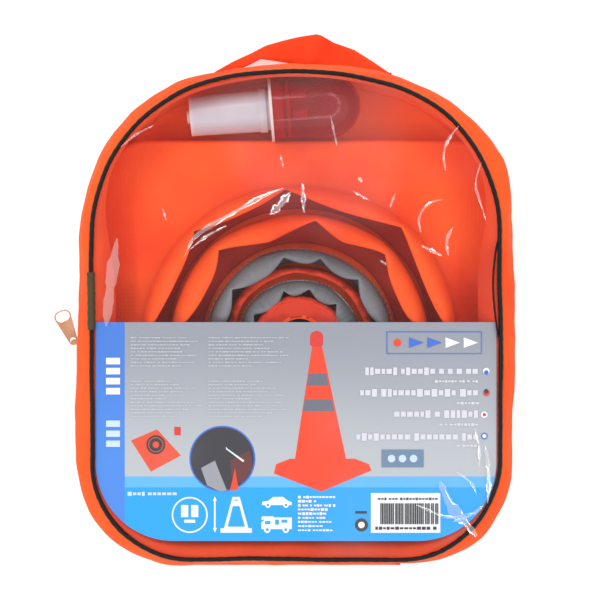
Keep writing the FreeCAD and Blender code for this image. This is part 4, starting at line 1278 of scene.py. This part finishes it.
# ink, then left, right, middle height, stroke height and step of each row of dashes
CARD_ROWS = (
    ("title_ink", (38.0, 99.8, -30.8, 3.58, 3.44), (35.2, 99.8, -42.6, 3.58, 3.44),
     (53.8, 99.8, -54.3, 3.58, 3.44), (33.1, 99.8, -66.8, 3.58, 3.44),
     (76.2, 99.8, -36.3, 1.24, 1.93), (88.3, 100.5, -48.3, 1.24, 1.93),
     (78.7, 99.8, -60.0, 1.24, 1.93), (88.3, 99.1, -71.6, 1.1, 1.93)),
    ("pale_ink", (-92.4, -65.4, -98.0, 1.93, 2.48)),
    ("black_ink", (44.8, 77.8, -100.8, 1.1, 1.79), (43.5, 77.1, -116.9, 1.38, 2.34)),
    ("white_ink", (1.1, 21.5, -99.8, 1.24, 1.79), (1.1, 11.1, -102.1, 1.24, 1.79),
     (1.1, 21.5, -104.4, 1.24, 1.79), (1.1, 17.3, -106.6, 1.24, 1.79),
     (1.1, 16.6, -108.9, 1.24, 1.79), (1.1, 16.0, -111.2, 0.96, 1.79),
     (1.1, 19.4, -113.4, 0.96, 1.79), (1.1, 14.6, -115.7, 0.96, 1.79), (1.1, 20.1, -118.0, 0.96, 1.79)),
)
# left, right, top and number of lines of a block of fine print
CARD_BLOCKS = (
    (-90.6, -50.7, -12.4, 9), (-48.0, -4.0, -12.4, 9), (-90.6, -50.7, -36.2, 11),
    (-48.0, -4.0, -36.2, 11),
)


@dataclass
class Card:
    """The printed card behind the lower half of the clear front."""

    level: float = 0.0
    layer: float = 0.005 * MM
    line_pitch: float = 1.93
    fine_dash: tuple[float, float] = (0.55, 1.7)
    pieces: list[bpy.types.Object] = field(default_factory=list)
    inks: dict[str, bpy.types.Material] = field(default_factory=dict)

    def shape(self, ink: str, corners: Array) -> None:
        """Print one flat shape.

        Args:
            ink: Name of its ink.
            corners: Its corners in millimetres.
        """
        select()
        bpy.ops.mesh.primitive_circle_add(vertices=len(corners), fill_type="NGON")
        piece = bpy.context.object
        points = np.array(corners, float) * MM
        following = np.roll(points, -1, axis=0)
        area = np.sum(points[:, 0] * following[:, 1] - points[:, 1] * following[:, 0])
        first, second = piece.data.polygons[0].vertices[:2]
        if (area > 0) == (second > first + 1):
            points = points[::-1]
        move_points(piece, np.column_stack([points, np.full(len(points), self.level)]))
        piece.data.materials.append(self.ink(ink))
        self.pieces.append(piece)

    def ink(self, name: str) -> bpy.types.Material:
        """Return an ink's material, made on first use."""
        if name not in self.inks:
            self.inks[name] = Ink(name, INK_TONES[name]).material()
        return self.inks[name]

    def row(self, ink: str, edges: Array, middle: float, height: Array) -> None:
        """Print a row of dashes.

        Args:
            ink: Name of its ink.
            edges: Left and right ends of the dashes in turn, in millimetres.
            middle: Height of the row's middle on the card.
            height: Height of each dash.
        """
        select()
        count = len(edges) - 1
        bpy.ops.mesh.primitive_grid_add(x_subdivisions=count, y_subdivisions=1, size=1)
        piece = bpy.context.object
        flat = coordinates(piece)
        column = np.rint((flat[:, 0] + 0.5) * count).astype(int)
        along = middle + np.sign(flat[:, 1]) * height[column // 2] / 2
        move_points(piece, np.column_stack([edges[column] * MM, along * MM,
                                            np.full(len(flat), self.level)]))
        bpy.context.tool_settings.mesh_select_mode = (False, False, True)
        faces = np.arange(len(piece.data.polygons))
        piece.data.polygons.foreach_set("select", faces % 2 == 1)
        piece.data.materials.append(self.ink(ink))
        bpy.ops.object.mode_set(mode="EDIT")
        bpy.ops.mesh.delete(type="FACE")
        bpy.ops.object.mode_set(mode="OBJECT")
        self.pieces.append(piece)

    def dashes(self, ink: str, left: float, right: float, middle: float, height: float,
               step: float, seed: int, spread: tuple[float, ...] = (0.8, 0.8, 1.2)) -> None:
        """Print dashes of uneven length that stand for a line of print.

        Args:
            ink: Name of its ink.
            left: Left end in millimetres.
            right: Right end.
            middle: Height of the line's middle on the card.
            height: Usual height of a dash.
            step: Usual distance between dashes.
            seed: Picks the line's pattern.
            spread: Shares of the height that dashes may have.
        """
        chance = np.random.default_rng(seed)
        count = max(2, int((right - left) / step))
        gaps = np.where(chance.random(count) < 0.16, 0.7, 0.22) * step
        marks = chance.uniform(0.6, 1.0, count) * step
        edges = left + np.concatenate([[0], np.cumsum(np.stack([marks, gaps], 1).ravel())[:-1]])
        edges = left + (edges - left) * (right - left) / (edges[-1] - left)
        self.row(ink, edges, middle, height * chance.choice(spread, count))

    def build(self) -> None:
        """Dress the card and lay its print on it."""
        low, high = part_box("insert_card")
        stock = CardStock(low.y, high.y, low.x, high.x, high.z)
        paint_node("insert_card", stock.material())
        self.level = high.z + 0.02 * MM
        turn = np.linspace(0, TURN, 40, endpoint=False)
        for ink, sizes in ((ink, sizes) for ink, *shapes in CARD_PRINT for sizes in shapes):
            self.level += self.layer
            if len(sizes) == 3:
                x, y, radius = sizes
                corners = np.stack([x + radius * np.cos(turn), y + radius * np.sin(turn)], 1)
            elif len(sizes) == 4:
                corners = np.array(sizes)[[[0, 1], [2, 1], [2, 3], [0, 3]]]
            else:
                corners = np.array(sizes).reshape(-1, 2)
            self.shape(ink, corners)
        lines = [(ink, *line) for ink, *group in CARD_ROWS for line in group]
        for number, line in enumerate(lines):
            self.dashes(*line, ROW_SEED + number)
        for number, (left, right, top, lines) in enumerate(CARD_BLOCKS):
            ends = np.random.default_rng(BLOCK_SEED + number).uniform(0.45, 1.0, lines)
            for line, share in enumerate(ends):
                self.dashes("fine_ink", left, left + (right - left) * share,
                            top - self.line_pitch * line, *self.fine_dash,
                            FINE_SEED + 20 * number + line)
        left, right, foot, top = STRIPES
        self.dashes("black_ink", left, right, (foot + top) / 2, (top - foot) * 0.98, 1.0,
                    STRIPE_SEED, (1.0,))
        dress(join("card_print", self.pieces), None, "front_cover", Slot.CARD)


# ------------------------------------------------------------------ studio

@dataclass
class Studio:
    view_centre: tuple[float, float] = (2.2 * MM, 8.3 * MM)
    view_width: float = 330 * MM
    height: float = 1.3
    sensor: float = 36.0
    sky: float = 0.64
    lamps: int = 8
    lamp_size: tuple[float, float] = (0.62, 0.26)
    lamp_ring: float = 0.92
    lamp_height: float = 1.1

    def floor(self) -> None:
        """Add the floor, which the camera sees as white with a soft shadow."""
        select()
        bpy.ops.mesh.primitive_plane_add(size=6, location=(0, 0, -0.2 * MM))
        floor = bpy.context.object
        floor.name = "floor"
        shader = Shader("floor")
        pale = shader.surface((0.82, 0.82, 0.82), 0.9)
        glow = shader.node("ShaderNodeEmission", {}, (1, 1, 1, 1), 0.42)
        lit = shader.node("ShaderNodeAddShader", {}, pale, glow)
        floor.data.materials.append(shader.mix(shader.seen(), pale, lit))

    def lights(self) -> None:
        """Add the lamps and an even pale world."""
        for number in range(self.lamps):
            angle = TURN * (number + 0.5) / self.lamps
            place = (self.lamp_ring * math.cos(angle), self.lamp_ring * math.sin(angle),
                     self.lamp_height)
            select()
            bpy.ops.object.light_add(type="AREA", location=place)
            lamp = bpy.context.object
            lamp.name = f"softbox_{number + 1}"
            lamp.data.shape = "RECTANGLE"
            lamp.data.size, lamp.data.size_y = self.lamp_size
            lamp.data.energy = 2.0 - 0.5 * math.cos(angle + 0.4)
            tilt = math.atan2(self.lamp_ring, self.lamp_height - 20 * MM)
            lamp.rotation_euler = (tilt, 0, angle + math.pi / 2)
        sky = Shader("studio", "worlds")
        bpy.context.scene.world = sky.owner
        strength = sky.seen().ramp(0, 1, self.sky, 1.0)
        sky.finish(sky.node("ShaderNodeBackground", {}, (1, 1, 1, 1), strength))

    def camera(self) -> None:
        """Add the camera."""
        select()
        bpy.ops.object.camera_add(location=(*self.view_centre, self.height))
        camera = bpy.context.object
        camera.data.sensor_width = self.sensor
        distance = self.height - 40 * MM
        camera.data.lens = self.sensor * distance / self.view_width
        bpy.context.scene.camera = camera

    def build(self) -> None:
        """Set up the studio."""
        self.camera()
        self.floor()
        self.lights()
        bpy.context.scene.view_settings.view_transform = "Standard"


def main() -> None:
    logging.basicConfig(level=logging.INFO, format="%(message)s")
    Studio().build()
    Bag().build()
    Cone().build()
    Card().build()
    for finish, *names in NODE_FINISHES:
        material = finish.material()
        for name in names:
            paint_node(name, material)


if __name__ == "__main__":
    main()
